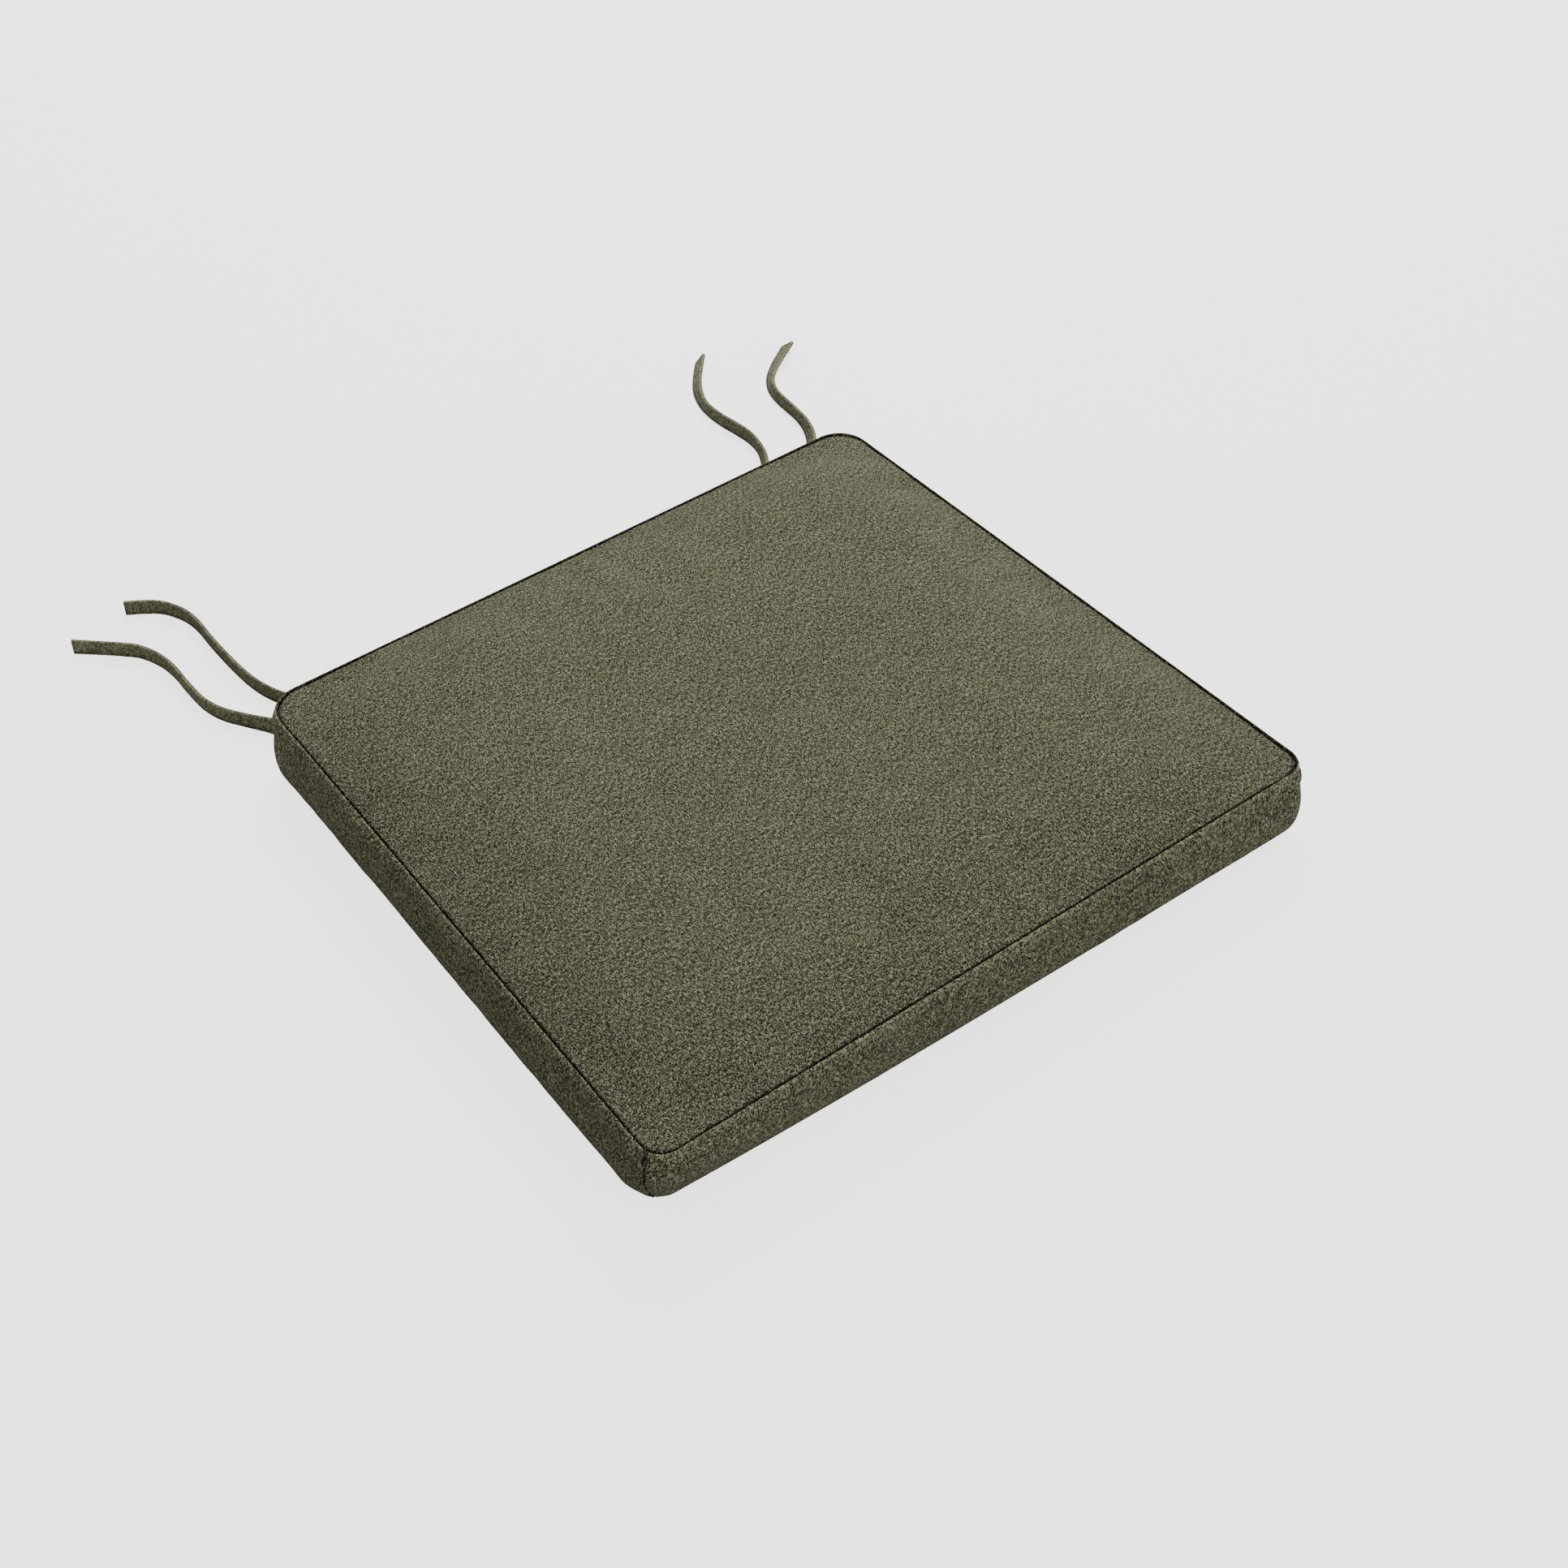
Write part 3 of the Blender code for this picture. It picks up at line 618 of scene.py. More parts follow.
def make_slack_pad():
    """The closed pad before it is stuffed tight: a low crown and flat sides. Returns its points,
    faces and how firmly each point is held."""
    plan = COARSE
    rings, held = [], []
    for inset in (76, 64, 53, 43, 34, 26, 19, 12.5, 6.5):
        rings.append(ring_at(plan, inset * MM, start_height(inset * MM)))
        held.append(0.0)
    for down, hold in ((0.0, 1.0), (7.0, 0.25), (14.0, 0.0), (21.0, 0.0), (28.0, 0.0),
                       (35.0, 0.0), (41.0, 0.25), (47.0, 1.0)):
        rings.append(band_ring(plan, 1 - down * MM / BAND_HEIGHT, factor=START_BULGE))
        held.append(hold)
    for inset in (8, 16, 26, 38, 50):
        rings.append(belly_ring(plan, inset * MM))
        held.append(0.6 if inset < 20 else 1.0)
    count = plan.count
    wide = plan.front + 1
    faces = strip_quads(len(rings), count, flip=True)
    points = np.concatenate(rings)
    hold = np.repeat(held, count)
    for ring, hold_patch, flip in ((0, 0.0, False), (len(rings) - 1, 1.0, True)):
        grid = plan.patch(rings[ring][:, :2])
        inner = grid[1:-1, 1:-1].reshape(-1, 2)
        first = len(points)
        level = np.full(len(inner), rings[ring][0, 2])
        points = np.concatenate([points, np.column_stack([inner, level])])
        hold = np.concatenate([hold, np.full(len(inner), hold_patch)])
        number = np.full((plan.side + 1, wide), -1)
        number[1:-1, 1:-1] = np.arange(first, first + len(inner)).reshape(plan.side - 1, wide - 2)
        for index, place in enumerate(plan.border()):
            number[place] = ring * count + index
        faces += [quad[::-1] if flip else quad for quad in patch_quads(number)]
    return points, faces, hold


def points_of(made):
    graph = bpy.context.evaluated_depsgraph_get()
    shown = made.evaluated_get(graph)
    mesh = shown.to_mesh()
    found = np.empty(len(mesh.vertices) * 3)
    mesh.vertices.foreach_get("co", found)
    mesh.calc_loop_triangles()
    corners = np.empty(len(mesh.loop_triangles) * 3, dtype=np.int32)
    mesh.loop_triangles.foreach_get("vertices", corners)
    shown.to_mesh_clear()
    return found.reshape(-1, 3), corners.reshape(-1, 3)


def subdivided(points, faces):
    made = object_from("subdividing", points, faces)
    step = made.modifiers.new("subdivide", "SUBSURF")
    step.levels = 1
    found = points_of(made)
    bpy.data.objects.remove(made, do_unlink=True)
    return found


def stuff():
    """Runs cloth under pressure on the slack pad. Returns the slack and the stuffed points of
    the same subdivided mesh and its triangles."""
    points, faces, hold = make_slack_pad()
    made = object_from("slack_pad", points, faces)
    group = made.vertex_groups.new(name="held")
    for level in sorted(set(hold)):
        if level > 0:
            group.add([int(i) for i in np.flatnonzero(hold == level)], float(level), "REPLACE")
    step = made.modifiers.new("stuffing", "CLOTH")
    cloth = step.settings
    for key, value in dict(
            quality=6, mass=0.3, tension_stiffness=18.0, compression_stiffness=18.0,
            shear_stiffness=6.0, bending_stiffness=0.6, use_pressure=True,
            uniform_pressure_force=4.0, vertex_group_mass="held", pin_stiffness=1.0,
            shrink_min=-0.012).items():
        setattr(cloth, key, value)
    cloth.effector_weights.gravity = 0.0
    step.point_cache.frame_start = 1
    step.point_cache.frame_end = SIM_FRAMES
    scene = bpy.context.scene
    for number in range(1, SIM_FRAMES + 1):
        scene.frame_set(number)
    moved, _ = points_of(made)
    bpy.data.objects.remove(made, do_unlink=True)
    scene.frame_set(1)
    shift = moved - points
    size = np.linalg.norm(shift, axis=1)
    limited = MOST_MOVE * np.tanh(size / MOST_MOVE)
    shift *= (limited / np.maximum(size, 1e-9))[:, None]
    slack, triangles = subdivided(points, faces)
    full, _ = subdivided(points + shift, faces)
    return slack, full, triangles


class Stuffing:
    """Carries any point on the slack pad's surface to the stuffed pad's."""

    def __init__(self):
        self.slack, self.full, self.triangles = stuff()
        self.tree = BVHTree.FromPolygons([tuple(p) for p in self.slack],
                                         [tuple(int(i) for i in t) for t in self.triangles])

    def shift(self, points):
        if self.tree is None:
            return np.zeros_like(points)
        found = [self.tree.find_nearest(tuple(p)) for p in points]
        index = np.array([hit[2] for hit in found])
        place = np.array([tuple(hit[0]) for hit in found])
        a, b, c = (self.slack[self.triangles[index, k]] for k in range(3))
        ab, ac, ap = b - a, c - a, place - a
        d00, d01, d11, d20, d21 = ((p * q).sum(1) for p, q in (
            (ab, ab), (ab, ac), (ac, ac), (ap, ab), (ap, ac)))
        scale = np.maximum(d00 * d11 - d01 * d01, 1e-20)
        v = ((d11 * d20 - d01 * d21) / scale)[:, None]
        w = ((d00 * d21 - d01 * d20) / scale)[:, None]
        move = self.full - self.slack
        ma, mb, mc = (move[self.triangles[index, k]] for k in range(3))
        return ma * (1 - v - w) + mb * v + mc * w


STUFFING = Stuffing()

# ---------------- cover

FABRIC = woven("pad_fabric_woven", (0.119, 0.121, 0.075))
UNDER = woven("under_fabric_woven", (0.100, 0.102, 0.063), slub=0.7)
THREAD = plain_material("stitch_thread", (0.115, 0.115, 0.072), 0.62, scale=2500.0, depth=0.08)
FOAM = plain_material("foam_cells", (0.82, 0.76, 0.56), 0.95, scale=900.0, depth=0.4)
QUICK_CROWN = START_CROWN
QUICK_BULGE = START_BULGE


def finish_piece(made, slot, *nodes):
    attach(made, "cushion")
    if nodes:
        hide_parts(*nodes)


def finish_cover(made, slot, *nodes, fill=0.85):
    finish_piece(made, slot, *nodes)


def make_top():
    """The top panel with its allowance turned down inside, closed below by a flat face on the
    foam. Returns points, faces and each point's inset from the seam."""
    seam = HIGH_SEAM
    hidden = [(3.2 * MM, FOAM_TOP + 0.3 * MM)] + [(s * MM, seam + z * MM) for s, z in (
        (2.9, -8.5), (1.5, -8.8), (1.05, -8.0), (1.00, -4.0), (0.96, -2.0), (0.98, -1.0),
        (1.10, -0.35), (1.32, 0.12))]
    insets = [1.7, 2.3, 3.5, 4.8, 6.5, 8.6, 11, 14, 17.5, 21, 25, 29.5, 34, 39, 44, 49.5, 55, 61, 68,
              76]
    rows = hidden + [(s * MM, start_height(s * MM, QUICK_CROWN)) for s in insets]
    count = FINE.count
    rings = [ring_at(FINE, s, z) for s, z in rows[:-1]]
    patch = FINE.patch(FINE.at(insets[-1] * MM)).reshape(-1, 2)
    first = len(rings) * count
    points = np.concatenate(rings + [np.column_stack([patch, np.full(len(patch), rows[-1][1])])])
    faces = strip_quads(len(rings), count)
    number = first + np.arange(len(patch)).reshape(FINE.side + 1, FINE.front + 1)
    edge = [number[place] for place in FINE.border()]
    low = first - count
    for column in range(count):
        after = (column + 1) % count
        faces.append((low + column, low + after, edge[after], edge[column]))
    faces += patch_quads(number)
    faces.append(tuple(range(count))[::-1])
    inset_of = np.concatenate([np.full(count, s) for s, _ in rows[:-1]]
                              + [np.full(len(patch), insets[-1] * MM)])
    shown = np.concatenate([np.full(count * 6, False), np.full(len(points) - count * 6, True)])
    return points, faces, inset_of, shown


def relief(points, inset_of, shown):
    """Soft unevenness of the stuffed top panel: slow hollows, and puckers that die away from
    the seam."""
    flat = points[:, :2]
    rise = smoothstep(1.5 * MM, 12 * MM, inset_of)
    slow = waves(flat, 0.150, 11) * 0.50 * MM + waves(flat, 0.075, 12) * 0.25 * MM
    quick = waves(flat, 0.030, 13) * 0.08 * MM
    pucker = waves(flat, 0.019, 14) * 0.22 * MM * np.exp(-((inset_of - 7 * MM) / (8 * MM)) ** 2)
    height = (slow + quick) * rise + pucker * smoothstep(1.4 * MM, 4 * MM, inset_of)
    moved = points.copy()
    moved[:, 2] += np.where(shown, height, 0)
    return moved


def build_top():
    points, faces, inset_of, shown = make_top()
    points[shown] += STUFFING.shift(points[shown])
    points = relief(points, inset_of, shown)
    above = np.maximum(points[:, 2] - HIGH_SEAM, 0)
    points[:, 2] += above * ((CROWN - HIGH_SEAM) / above.max() - 1)
    cloth = np.column_stack([points[:, :2], np.zeros(len(points))])
    # Painted shade: the top panel darkens into the seam's groove, fading out a few millimetres in and
    # fully by about 30 mm; the hidden allowance is painted fully dark.
    edge = np.where(shown, -0.9 + 0.80 * smoothstep(0.9 * MM, 2.0 * MM, inset_of)
                    + 0.10 * smoothstep(3 * MM, 30 * MM, inset_of), -1.0)
    made = object_from("cover_top", points, faces, FABRIC, cloth, edge)
    finish_cover(made, "pad_fabric", "top_panel", "fibre_layer_top")


# ---------------- boxing

RIDGE_REACH = 8.4


def ridge(down, strength):
    """Outward push of the seam allowances folded behind the boxing, down from the top seam."""
    rise = smoothstep(-1.0, 3.4, down)
    return strength * (0.45 + 0.55 * rise) * smoothstep(RIDGE_REACH + 1.6, RIDGE_REACH - 1.4, down)


def ridge_strength():
    """How far the allowances push out along the boxing: more on the front and left than on the
    right and back, and most at the front left corner, where the join's own allowance adds to it."""
    strength = (0.3 + 2.1 * near_side(FINE.out)) * MM * (1 + 0.22 * waves(FINE_TURN, 0.060, 21))
    x, y = FINE.seam.T
    corner = np.exp(-(((x + HALF_FRONT) / 0.035) ** 2 + ((y + SEAM_DEPTH / 2) / 0.030) ** 2))
    return strength + 0.7 * MM * corner


def lip(share, rows):
    """Rows of the boxing's rolled edge, each (share, extra inset, rise, follow, edge), where edge is
    painted light and shade.
    """
    return [(share, s * MM, z * MM, 0.0, edge) for s, z, edge in rows]


# The last number of each row is painted light: painted shade in the seam's groove and a painted
# highlight on the top lip's roll; the bottom lip darkens into painted shade towards its seam.
TOP_LIP = lip(1.0, ((0.45, -8.5, -1), (0.42, -3.0, -1), (0.40, -1.2, -1), (0.30, -0.1, -0.9),
                    (0.0, 0.60, -0.45), (-0.45, 0.92, 0.1), (-0.95, 0.85, 0.75), (-1.38, 0.40, 0.9),
                    (-1.62, -0.35, 0.75), (-1.72, -1.1, 0.45)))
BOTTOM_LIP = lip(0.0, ((-0.30, 0.35, -0.1), (-0.05, 0.0, -0.4), (0.30, -0.15, -0.8), (0.70, 0.1, -1),
                       (0.90, 0.9, -1), (0.95, 3.0, -1), (0.95, 8.5, -1)))


def wall(high, low):
    """Rows of the boxing's wall between two shares of its height, closer together near the
    top seam, where the allowances folded behind them end in a slight crease."""
    downs = [1.9, 3.0, 4.6, 6.2, 7.6, 8.6, 9.4, 10.2, 11.2, 12.6, 14.5, 17, 20, 23.5, 27, 30.5,
             34, 37, 39.5, 41.5, 43.3, 44.8, 46.0]
    rows = []
    for down in downs:
        # Painted light: a painted highlight fading out below the top seam and a painted shadow along
        # the crease where the allowances end.
        edge = 0.22 * math.exp(-(down - 1.9) / 3.5) - 0.24 * math.exp(-((down - 9.6) / 1.5) ** 2)
        rows.append((1 - down * MM / BAND_HEIGHT, 0.0, 0.0, 1.0, edge))
    return [row for row in rows if low <= row[0] <= high]


def fold(edge, side):
    """Rows of a placket's edge as it turns in beside the zip; side is 1 above the window."""
    share = (edge - LOW_SEAM) / BAND_HEIGHT
    deep = SEAM_DEPTH / 2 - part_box("rear_placket_lower")[0].y + 4.2 * MM * float(fullness(share))
    # The last number of each row is painted light: a painted highlight on the placket's rolled edge and
    # painted shade as it turns in beside the zip.
    rows = [(0.0, 1.9, 0.05), (0.03, 1.1, 0.2), (0.16, 0.5, 0.35), (0.42, 0.14, 0.2), (0.80, 0.0, -0.2),
            (2.2, 0.0, -0.6)]
    turned = [(share, s * MM, side * z * MM, 1.0 if s < 1 else 0.5, tone) for s, z, tone in rows]
    return turned + [(share, deep - 1.0 * MM, 0.0, 0.0, -0.8), (share, deep, 0.0, 0.0, -0.8)]


MOVES = {}


def stuffing_move(ring, share):
    """The stuffing's evened move of a ring of the boxing, worked out once for each share."""
    if share not in MOVES:
        MOVES[share] = evened(STUFFING.shift(ring))
    return MOVES[share]


def evened(shift):
    """The stuffing's move of a closed ring with most of its short waves taken out."""
    reach = 24
    weights = np.hanning(2 * reach + 3)[1:-1]
    weights /= weights.sum()
    around = np.concatenate([shift[-reach:], shift, shift[:reach]])
    size = np.stack([np.convolve(around[:, k], weights, "valid") for k in range(3)], 1)
    along = (size * np.column_stack([FINE.out, np.zeros(len(size))])).sum(1)
    smooth = np.column_stack([FINE.out * along[:, None], size[:, 2]])
    return 0.75 * smooth + 0.25 * shift


SLIDER_TRAVEL = 0.296
PULL_CLEARANCE = 0.6 * MM


def beside_zip(ring):
    """Keeps the cloth past the zip's open end flat, where the pull lies once the zip is open."""
    low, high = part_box("zipper_pull")
    end = low.x - SLIDER_TRAVEL
    x, y, z = ring.T
    share = (smoothstep(end - 0.022, end - 0.002, x) * smoothstep(end + 0.034, end + 0.022, x)
             * smoothstep(low.z - 0.009, low.z - 0.0015, z)
             * smoothstep(high.z + 0.009, high.z + 0.0015, z))
    moved = ring.copy()
    moved[:, 1] = np.where(y > 0, y + (np.minimum(y, low.y - PULL_CLEARANCE) - y) * share, y)
    return moved


def shaped_band(rows, columns):
    """Rings of the boxing for rows of share, extra inset, rise and how far the stuffing moves
    them."""
    index = np.array([c % FINE.count for c in columns])
    strength = ridge_strength()
    rings = []
    for share, extra, rise, follow, _ in rows:
        ring = band_ring(FINE, share, extra, rise, QUICK_BULGE)
        if follow > 0:
            push = ridge((1 - share) * BAND_HEIGHT / MM, strength)
            for stretch, length, seed, size in ((0.075, 0.060, 22, 0.18), (0.024, 0.016, 23, 0.10)):
                places = np.column_stack([FINE_TURN, np.full(FINE.count, share * stretch)])
                push = push + waves(places, length, seed) * size * MM
            ring = ring + stuffing_move(ring, share) * follow
            ring[:, :2] += FINE.out * push[:, None]
            ring = beside_zip(ring)
        rings.append(ring[index])
    return np.array(rings)


def nearest_column(x, y):
    return int(np.argmin((FINE.seam[:, 0] - x) ** 2 + (FINE.seam[:, 1] - y) ** 2))


LEFT_JOIN = -5
RIGHT_JOIN = FINE.front
PLACKET_RIGHT = nearest_column(PLACKET_HALF, SEAM_DEPTH / 2)
PLACKET_LEFT = nearest_column(-PLACKET_HALF, SEAM_DEPTH / 2)


def joined(rings, columns, turn_first, turn_last):
    """Draws a strip's two ends in to a vertical seam: the last columns round over and turn in."""
    index = [c % FINE.count for c in columns]
    out = np.column_stack([FINE.out[index], np.zeros(len(index))])
    ends = []
    for column, step, turn in ((0, 1, turn_first), (-1, -1, turn_last)):
        ahead = rings[:, column + step] - rings[:, column]
        ahead /= np.linalg.norm(ahead, axis=1)[:, None]
        here = rings[:, column]
        away = out[column][None] * np.clip((HIGH_SEAM - here[:, 2]) / (2 * MM), 0.08, 1)[:, None]
        ends.append([here + ahead * forward * MM - away * inward for forward, inward in
                     ((1.30, 0.05 * MM), (0.45, 0.45 * MM), (0.12, 1.20 * MM), (0.10, turn))])
    return np.concatenate([np.stack(ends[0][::-1], 1), rings[:, 1:-1], np.stack(ends[1], 1)], 1)


def strip_object(name, rings, edges, seed):
    rows, count, _ = rings.shape
    quads = strip_quads(rows, count, closed=False, flip=True)
    run = distance_along(rings[rows // 2])
    down = distance_along(rings[:, count // 2])
    cloth = np.stack([np.broadcast_to(run[None], (rows, count)),
                      np.broadcast_to(down[:, None], (rows, count)),
                      np.full((rows, count), seed)], 2).reshape(-1, 3)
    # Painted light: edges holds each row's painted light and shade; the columns where the strip turns
    # in at its ends are darkened further as painted shade.
    edge = np.broadcast_to(np.array(edges, dtype=float)[:, None], (rows, count)).copy()
    for column, join_painted_shade in ((0, -1), (1, -1), (2, -0.6), (-1, -1), (-2, -1), (-3, -0.6)):
        edge[:, column] = np.minimum(edge[:, column], join_painted_shade)
    made = object_from(name, rings.reshape(-1, 3), quads, FABRIC, cloth, edge)
    step = made.modifiers.new("thickness", "SOLIDIFY")
    step.thickness = 0.5 * MM
    step.offset = -1
    return made


WINDOW_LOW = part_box("rear_placket_lower")[1].z
WINDOW_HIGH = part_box("rear_placket_upper")[0].z


def build_boxing():
    full = TOP_LIP + wall(1.0, 0.0) + BOTTOM_LIP
    above = (WINDOW_HIGH + 2.4 * MM - LOW_SEAM) / BAND_HEIGHT
    below = (WINDOW_LOW - 2.4 * MM - LOW_SEAM) / BAND_HEIGHT
    upper = TOP_LIP + wall(1.0, above) + fold(WINDOW_HIGH, 1)
    lower = list(reversed(fold(WINDOW_LOW, -1))) + wall(below, 0.0) + BOTTOM_LIP
    deep = 7.5 * MM
    placket = (PLACKET_RIGHT, PLACKET_LEFT, 1.5 * MM, 1.5 * MM)
    strips = (
        ("cover_front_band", "front_boxing", full, LEFT_JOIN, RIGHT_JOIN, 2.5 * MM, 2.5 * MM),
        ("cover_right_band", "right_boxing", full, RIGHT_JOIN, PLACKET_RIGHT, 2.5 * MM, deep),
        ("cover_placket_upper", "rear_placket_upper", upper, *placket),
        ("cover_placket_lower", "rear_placket_lower", lower, *placket),
        ("cover_left_band", "left_boxing", full, PLACKET_LEFT, FINE.count + LEFT_JOIN, deep, 2.5 * MM),
    )
    for number, (name, node, rows, first, last, turn_first, turn_last) in enumerate(strips):
        columns = list(range(first, last + 1))
        rings = joined(shaped_band(rows, columns), columns, turn_first, turn_last)
        made = strip_object(name, rings, [row[4] for row in rows], 0.3 + 0.11 * number)
        finish_cover(made, "pad_fabric", node)


# ---------------- bottom

def build_bottom():
    insets = [2.0, 3.0, 4.8, 7.5, 11, 15, 20, 26, 33, 40, 48]
    rows = [(3.2, 1.8), (2.9, 8.5), (1.7, 8.8), (1.3, 8.0), (1.2, 4.0), (1.1, 1.0), (1.4, 0.1)]
    rows += [(inset, 0.0) for inset in insets]
    rows = [(s * MM, z * MM) for s, z in rows]
    rings = [belly_ring(FINE, s, z) for s, z in rows]
    count = FINE.count
    points = np.concatenate(rings)
    shown = np.arange(len(points)) >= 6 * count
    points[shown] += STUFFING.shift(points[shown]) * np.array((1, 1, 0))
    pucker = waves(points[:, :2], 0.022, 31) * 0.2 * MM
    inset_of = np.repeat([s for s, _ in rows], count)
    points[:, 2] += np.where(shown, pucker * np.exp(-((inset_of - 10 * MM) / (9 * MM)) ** 2), 0)
    faces = strip_quads(len(rings), count, flip=True) + end_faces(len(rings), count)
    cloth = np.column_stack([points[:, :2], np.full(len(points), 0.7)])
    made = object_from("cover_bottom", points, faces, UNDER, cloth)
    finish_cover(made, "under_fabric", "bottom_panel", "fibre_layer_bottom")


def build_foam():
    """The foam slab inside, which the tucked front edge squeezes with the cover."""
    low = FOAM_LOW
    high = FOAM_TOP
    edge = 2.0 * MM
    inset = 3.3 * MM
    rows = [(inset + edge, low), (inset, low + edge), (inset, (low + high) / 2), (inset, high - edge),
            (inset + edge, high)]
    rings = [ring_at(COARSE, s + (0.004 if z < (low + high) / 2 else 0), z,
                     float(smoothstep(0.75, 0.0, (z - LOW_SEAM) / BAND_HEIGHT))) for s, z in rows]
    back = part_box("foam_core")[1].y
    for ring in rings:
        ring[:, 1] = np.minimum(ring[:, 1], back)
    faces = (strip_quads(len(rings), COARSE.count)
             + end_faces(len(rings), COARSE.count, flip=True))
    made = object_from("foam_slab", np.concatenate(rings), faces, FOAM)
    finish_cover(made, "foam", "foam_core", fill=1.0)


# ---------------- thread

def curve_tube(name, points, radius, material, closed=False):
    data = bpy.data.curves.new(name, "CURVE")
    data.dimensions = "3D"
    data.bevel_depth = radius
    data.bevel_resolution = 1
    data.use_fill_caps = not closed
    run = data.splines.new("POLY")
    run.points.add(len(points) - 1)
    for slot, point in zip(run.points, points):
        slot.co = (float(point[0]), float(point[1]), float(point[2]), 1.0)
    run.use_cyclic_u = closed
    data.materials.append(material)
    return placed(name, data)


def build_seam_threads():
    wave = np.abs(np.sin(FINE.run / (3.2 * MM) * math.pi)) * 0.45 * MM
    upper = ring_at(FINE, 0.7 * MM, HIGH_SEAM - 2.4 * MM)
    lower = belly_ring(FINE, 1.05 * MM, 1.0 * MM)
    for name, node, ring, side in (("seam_stitching_top", "top_seam_thread", upper, 1),
                                   ("seam_stitching_bottom", "bottom_seam_thread", lower, -1)):
        ring[:, 2] += side * wave
        made = curve_tube(name, ring, 0.28 * MM, THREAD, closed=True)
        finish_piece(made, "sewing_thread", node)


STITCH_LENGTH = 3.0 * MM
STITCH_GAP = 0.9 * MM
STITCH_RADIUS = 0.26 * MM


def stitch_row(name, places, outs):
    """A row of single stitches lying on the cloth along a path."""
    run = distance_along(places)

    def between(values, s):
        return np.array([np.interp(s, run, values[:, k]) for k in range(3)])

    points, faces = [], []
    at = STITCH_GAP
    sides = 6
    profile = ((0.0, -0.6, 0.55), (0.12, 0.15, 0.9), (0.35, 0.45, 1.0), (0.65, 0.45, 1.0),
               (0.88, 0.15, 0.9), (1.0, -0.6, 0.55))
    while at + STITCH_LENGTH < run[-1]:
        first = len(points)
        for share, lift, wide in profile:
            s = at + share * STITCH_LENGTH
            out = between(outs, s)
            out /= np.linalg.norm(out)
            ahead = between(places, s + 0.5 * MM) - between(places, s - 0.5 * MM)
            ahead /= np.linalg.norm(ahead)
            side = np.cross(out, ahead)
            for k in range(sides):
                angle = 2 * math.pi * k / sides
                points.append(between(places, s) + STITCH_RADIUS
                              * (out * (lift + math.sin(angle) * wide) + side * math.cos(angle) * wide))
        faces += strip_quads(len(profile), sides, first)
        faces += end_faces(len(profile), sides, first, flip=True)
        at += STITCH_LENGTH + STITCH_GAP
    finish_piece(object_from(name, points, faces, THREAD), "sewing_thread")


def build_zip_stitching():
    """Topstitching along both placket edges."""
    columns = list(range(PLACKET_RIGHT, PLACKET_LEFT + 1))
    outs = np.column_stack([FINE.out[columns], np.zeros(len(columns))])
    for name, height in (("upper", WINDOW_HIGH + 3.4 * MM), ("lower", WINDOW_LOW - 3.4 * MM)):
        share = (height - LOW_SEAM) / BAND_HEIGHT
        ring = shaped_band([(share, 0.0, 0.0, 1.0, 0.0)], columns)[0]
        stitch_row("placket_stitching_" + name, ring[2:-2], outs[2:-2])


# ---------------- zip

def build_zip():
    """Coils, and finishes for the tapes, stops, slider and pull that the CAD already shapes."""
    tape = plain_material("zip_tape_cloth", (0.070, 0.070, 0.045), 0.85, scale=1500.0,
                          variation=0.25, depth=0.2)
    coil = plain_material("zip_coil_nylon", (0.080, 0.080, 0.052), 0.42, scale=900.0, depth=0.02)
    metal = plain_material("zip_brass", (0.33, 0.31, 0.25), 0.34, metallic=1.0, scale=1200.0,
                           variation=0.18, depth=0.015)
    for side, name in ((1, "upper"), (-1, "lower")):
        low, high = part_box("zipper_coil_" + name)
        radius = 0.36 * MM
        pitch = 1.45 * MM
        turns = (high.x - low.x - 2 * radius) / pitch
        count = int(turns * 10)
        angle = np.linspace(0, turns * 2 * math.pi, count)
        reach_y = (high.y - low.y) / 2 - radius
        reach_z = (high.z - low.z) / 2 - radius
        points = np.stack([np.linspace(low.x + radius, high.x - radius, count),
                           (low.y + high.y) / 2 + np.cos(angle) * reach_y,
                           (low.z + high.z) / 2 + np.sin(angle) * reach_z * side], 1)
        made = curve_tube("zip_coil_" + name, points, radius, coil)
        finish_piece(made, "zip_coil", "zipper_coil_" + name)
        paint("zipper_tape_" + name, tape)
        paint("zipper_top_stop_" + name, metal)
    for name in ("zipper_bottom_stop", "zipper_slider", "zipper_pull"):
        paint(name, metal)


def paint(node, material):
    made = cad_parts[node]
    for slot in made.material_slots:
        slot.material = material


build_top()
build_boxing()
build_bottom()
build_foam()
build_seam_threads()
build_zip_stitching()
build_zip()

# ---------------- floor, light

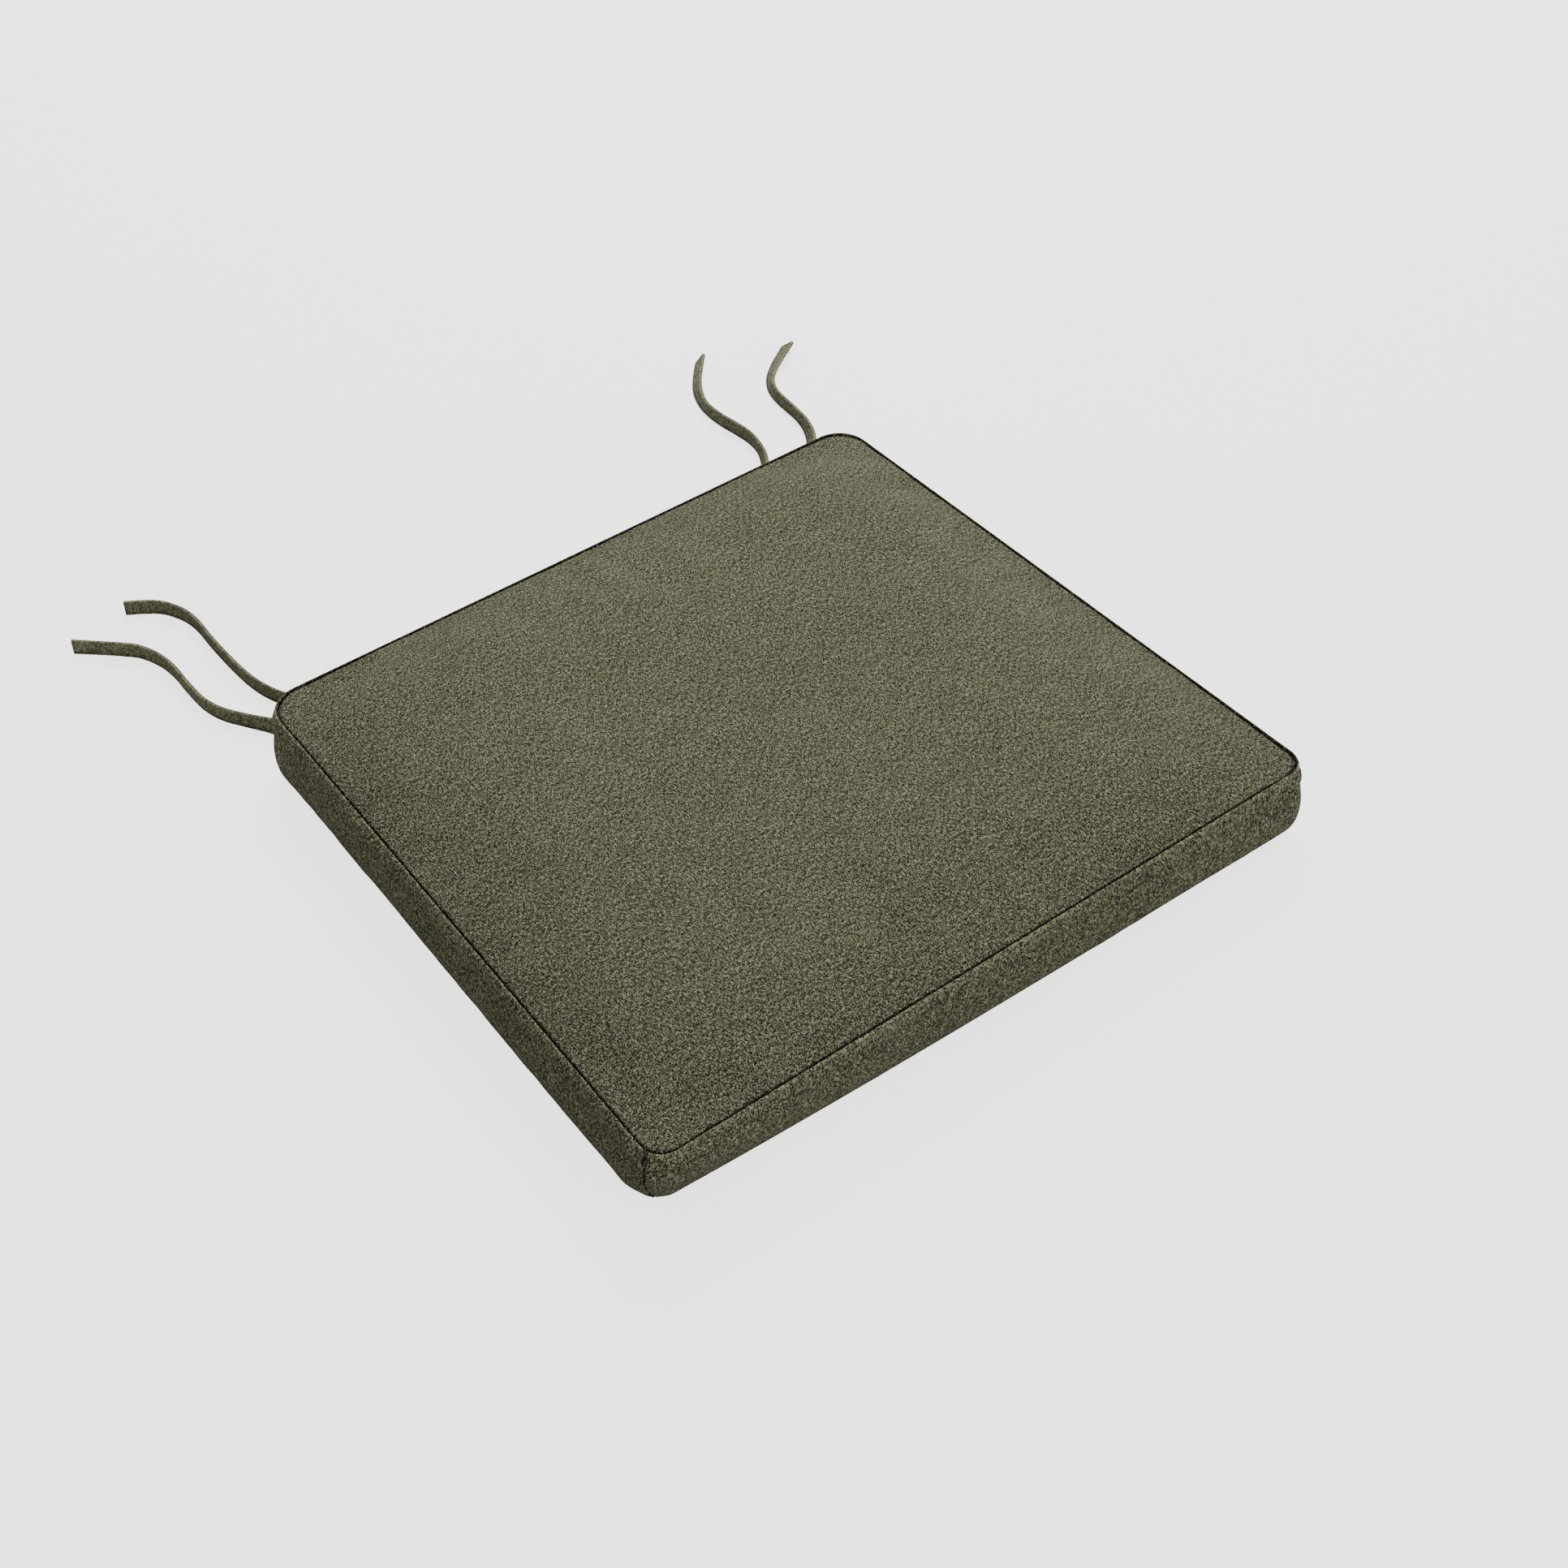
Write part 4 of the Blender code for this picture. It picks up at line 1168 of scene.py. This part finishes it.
def make_floor():
    """A pale matt floor, brighter to the eye than in what it throws back on the pad."""
    n = Nodes("floor")
    place = n.object_place()
    grain = n.noise(place, 3.0, 2.0)
    tone = n.spread(grain, 0.3, 0.7, FLOOR_TONE - 0.01, FLOOR_TONE + 0.01)
    seen = n.add("LightPath").outputs["Is Camera Ray"]
    n.fed(n.shader, ("Base Color", n.grey(tone)), ("Roughness", 0.95), ("Specular IOR Level", 0.1),
          ("Emission Color", (1.0, 1.0, 1.0, 1.0)), ("Emission Strength", n.times(seen, FLOOR_GLOW)))
    corners = [(x * FLOOR_REACH, y * FLOOR_REACH, 0) for x, y in ((-1, -1), (1, -1), (1, 1), (-1, 1))]
    object_from("floor", corners, [(0, 1, 2, 3)], n.material)


def soft_light(name, azimuth, elevation, distance, size, power, colour=(1.0, 1.0, 1.0)):
    data = bpy.data.lights.new(name, "AREA")
    data.shape = "DISK"
    data.size = size
    data.energy = power
    data.color = colour
    made = placed(name, data)
    made.location = direction(azimuth, elevation) * distance
    aim(made, (0.0, 0.0, 0.03))


def make_world(strength, seen):
    """Even light a little warmer than white, and a plain white behind the floor's far edge."""
    world = bpy.data.worlds.new("studio")
    bpy.context.scene.world = world
    world.use_nodes = True
    tree = world.node_tree
    back = tree.nodes["Background"]
    path = tree.nodes.new("ShaderNodeLightPath")
    level = tree.nodes.new("ShaderNodeMapRange")
    level.inputs["To Min"].default_value = strength
    level.inputs["To Max"].default_value = seen
    tint = tree.nodes.new("ShaderNodeMix")
    tint.data_type = "RGBA"
    tint.inputs[COLOUR_A].default_value = (1.0, 0.985, 0.87, 1.0)
    tint.inputs[COLOUR_B].default_value = (1.0, 1.0, 1.0, 1.0)
    seen_by_eye = path.outputs["Is Camera Ray"]
    for source, socket in ((seen_by_eye, level.inputs["Value"]), (seen_by_eye, tint.inputs[0]),
                           (level.outputs[0], back.inputs["Strength"]),
                           (tint.outputs[COLOUR_OUT], back.inputs["Color"])):
        tree.links.new(source, socket)


FLOOR_TONE = 0.58
FLOOR_GLOW = 2.4
FLOOR_REACH = 12.0
make_floor()
soft_light("key", 140.0, 50.0, 2.6, 1.3, 60.0, (0.985, 0.99, 1.03))
soft_light("fill", 12.0, 16.0, 3.0, 2.0, 25.0)
soft_light("side", -75.0, 13.0, 3.0, 2.2, 3.5)
make_world(0.32, 2.2)
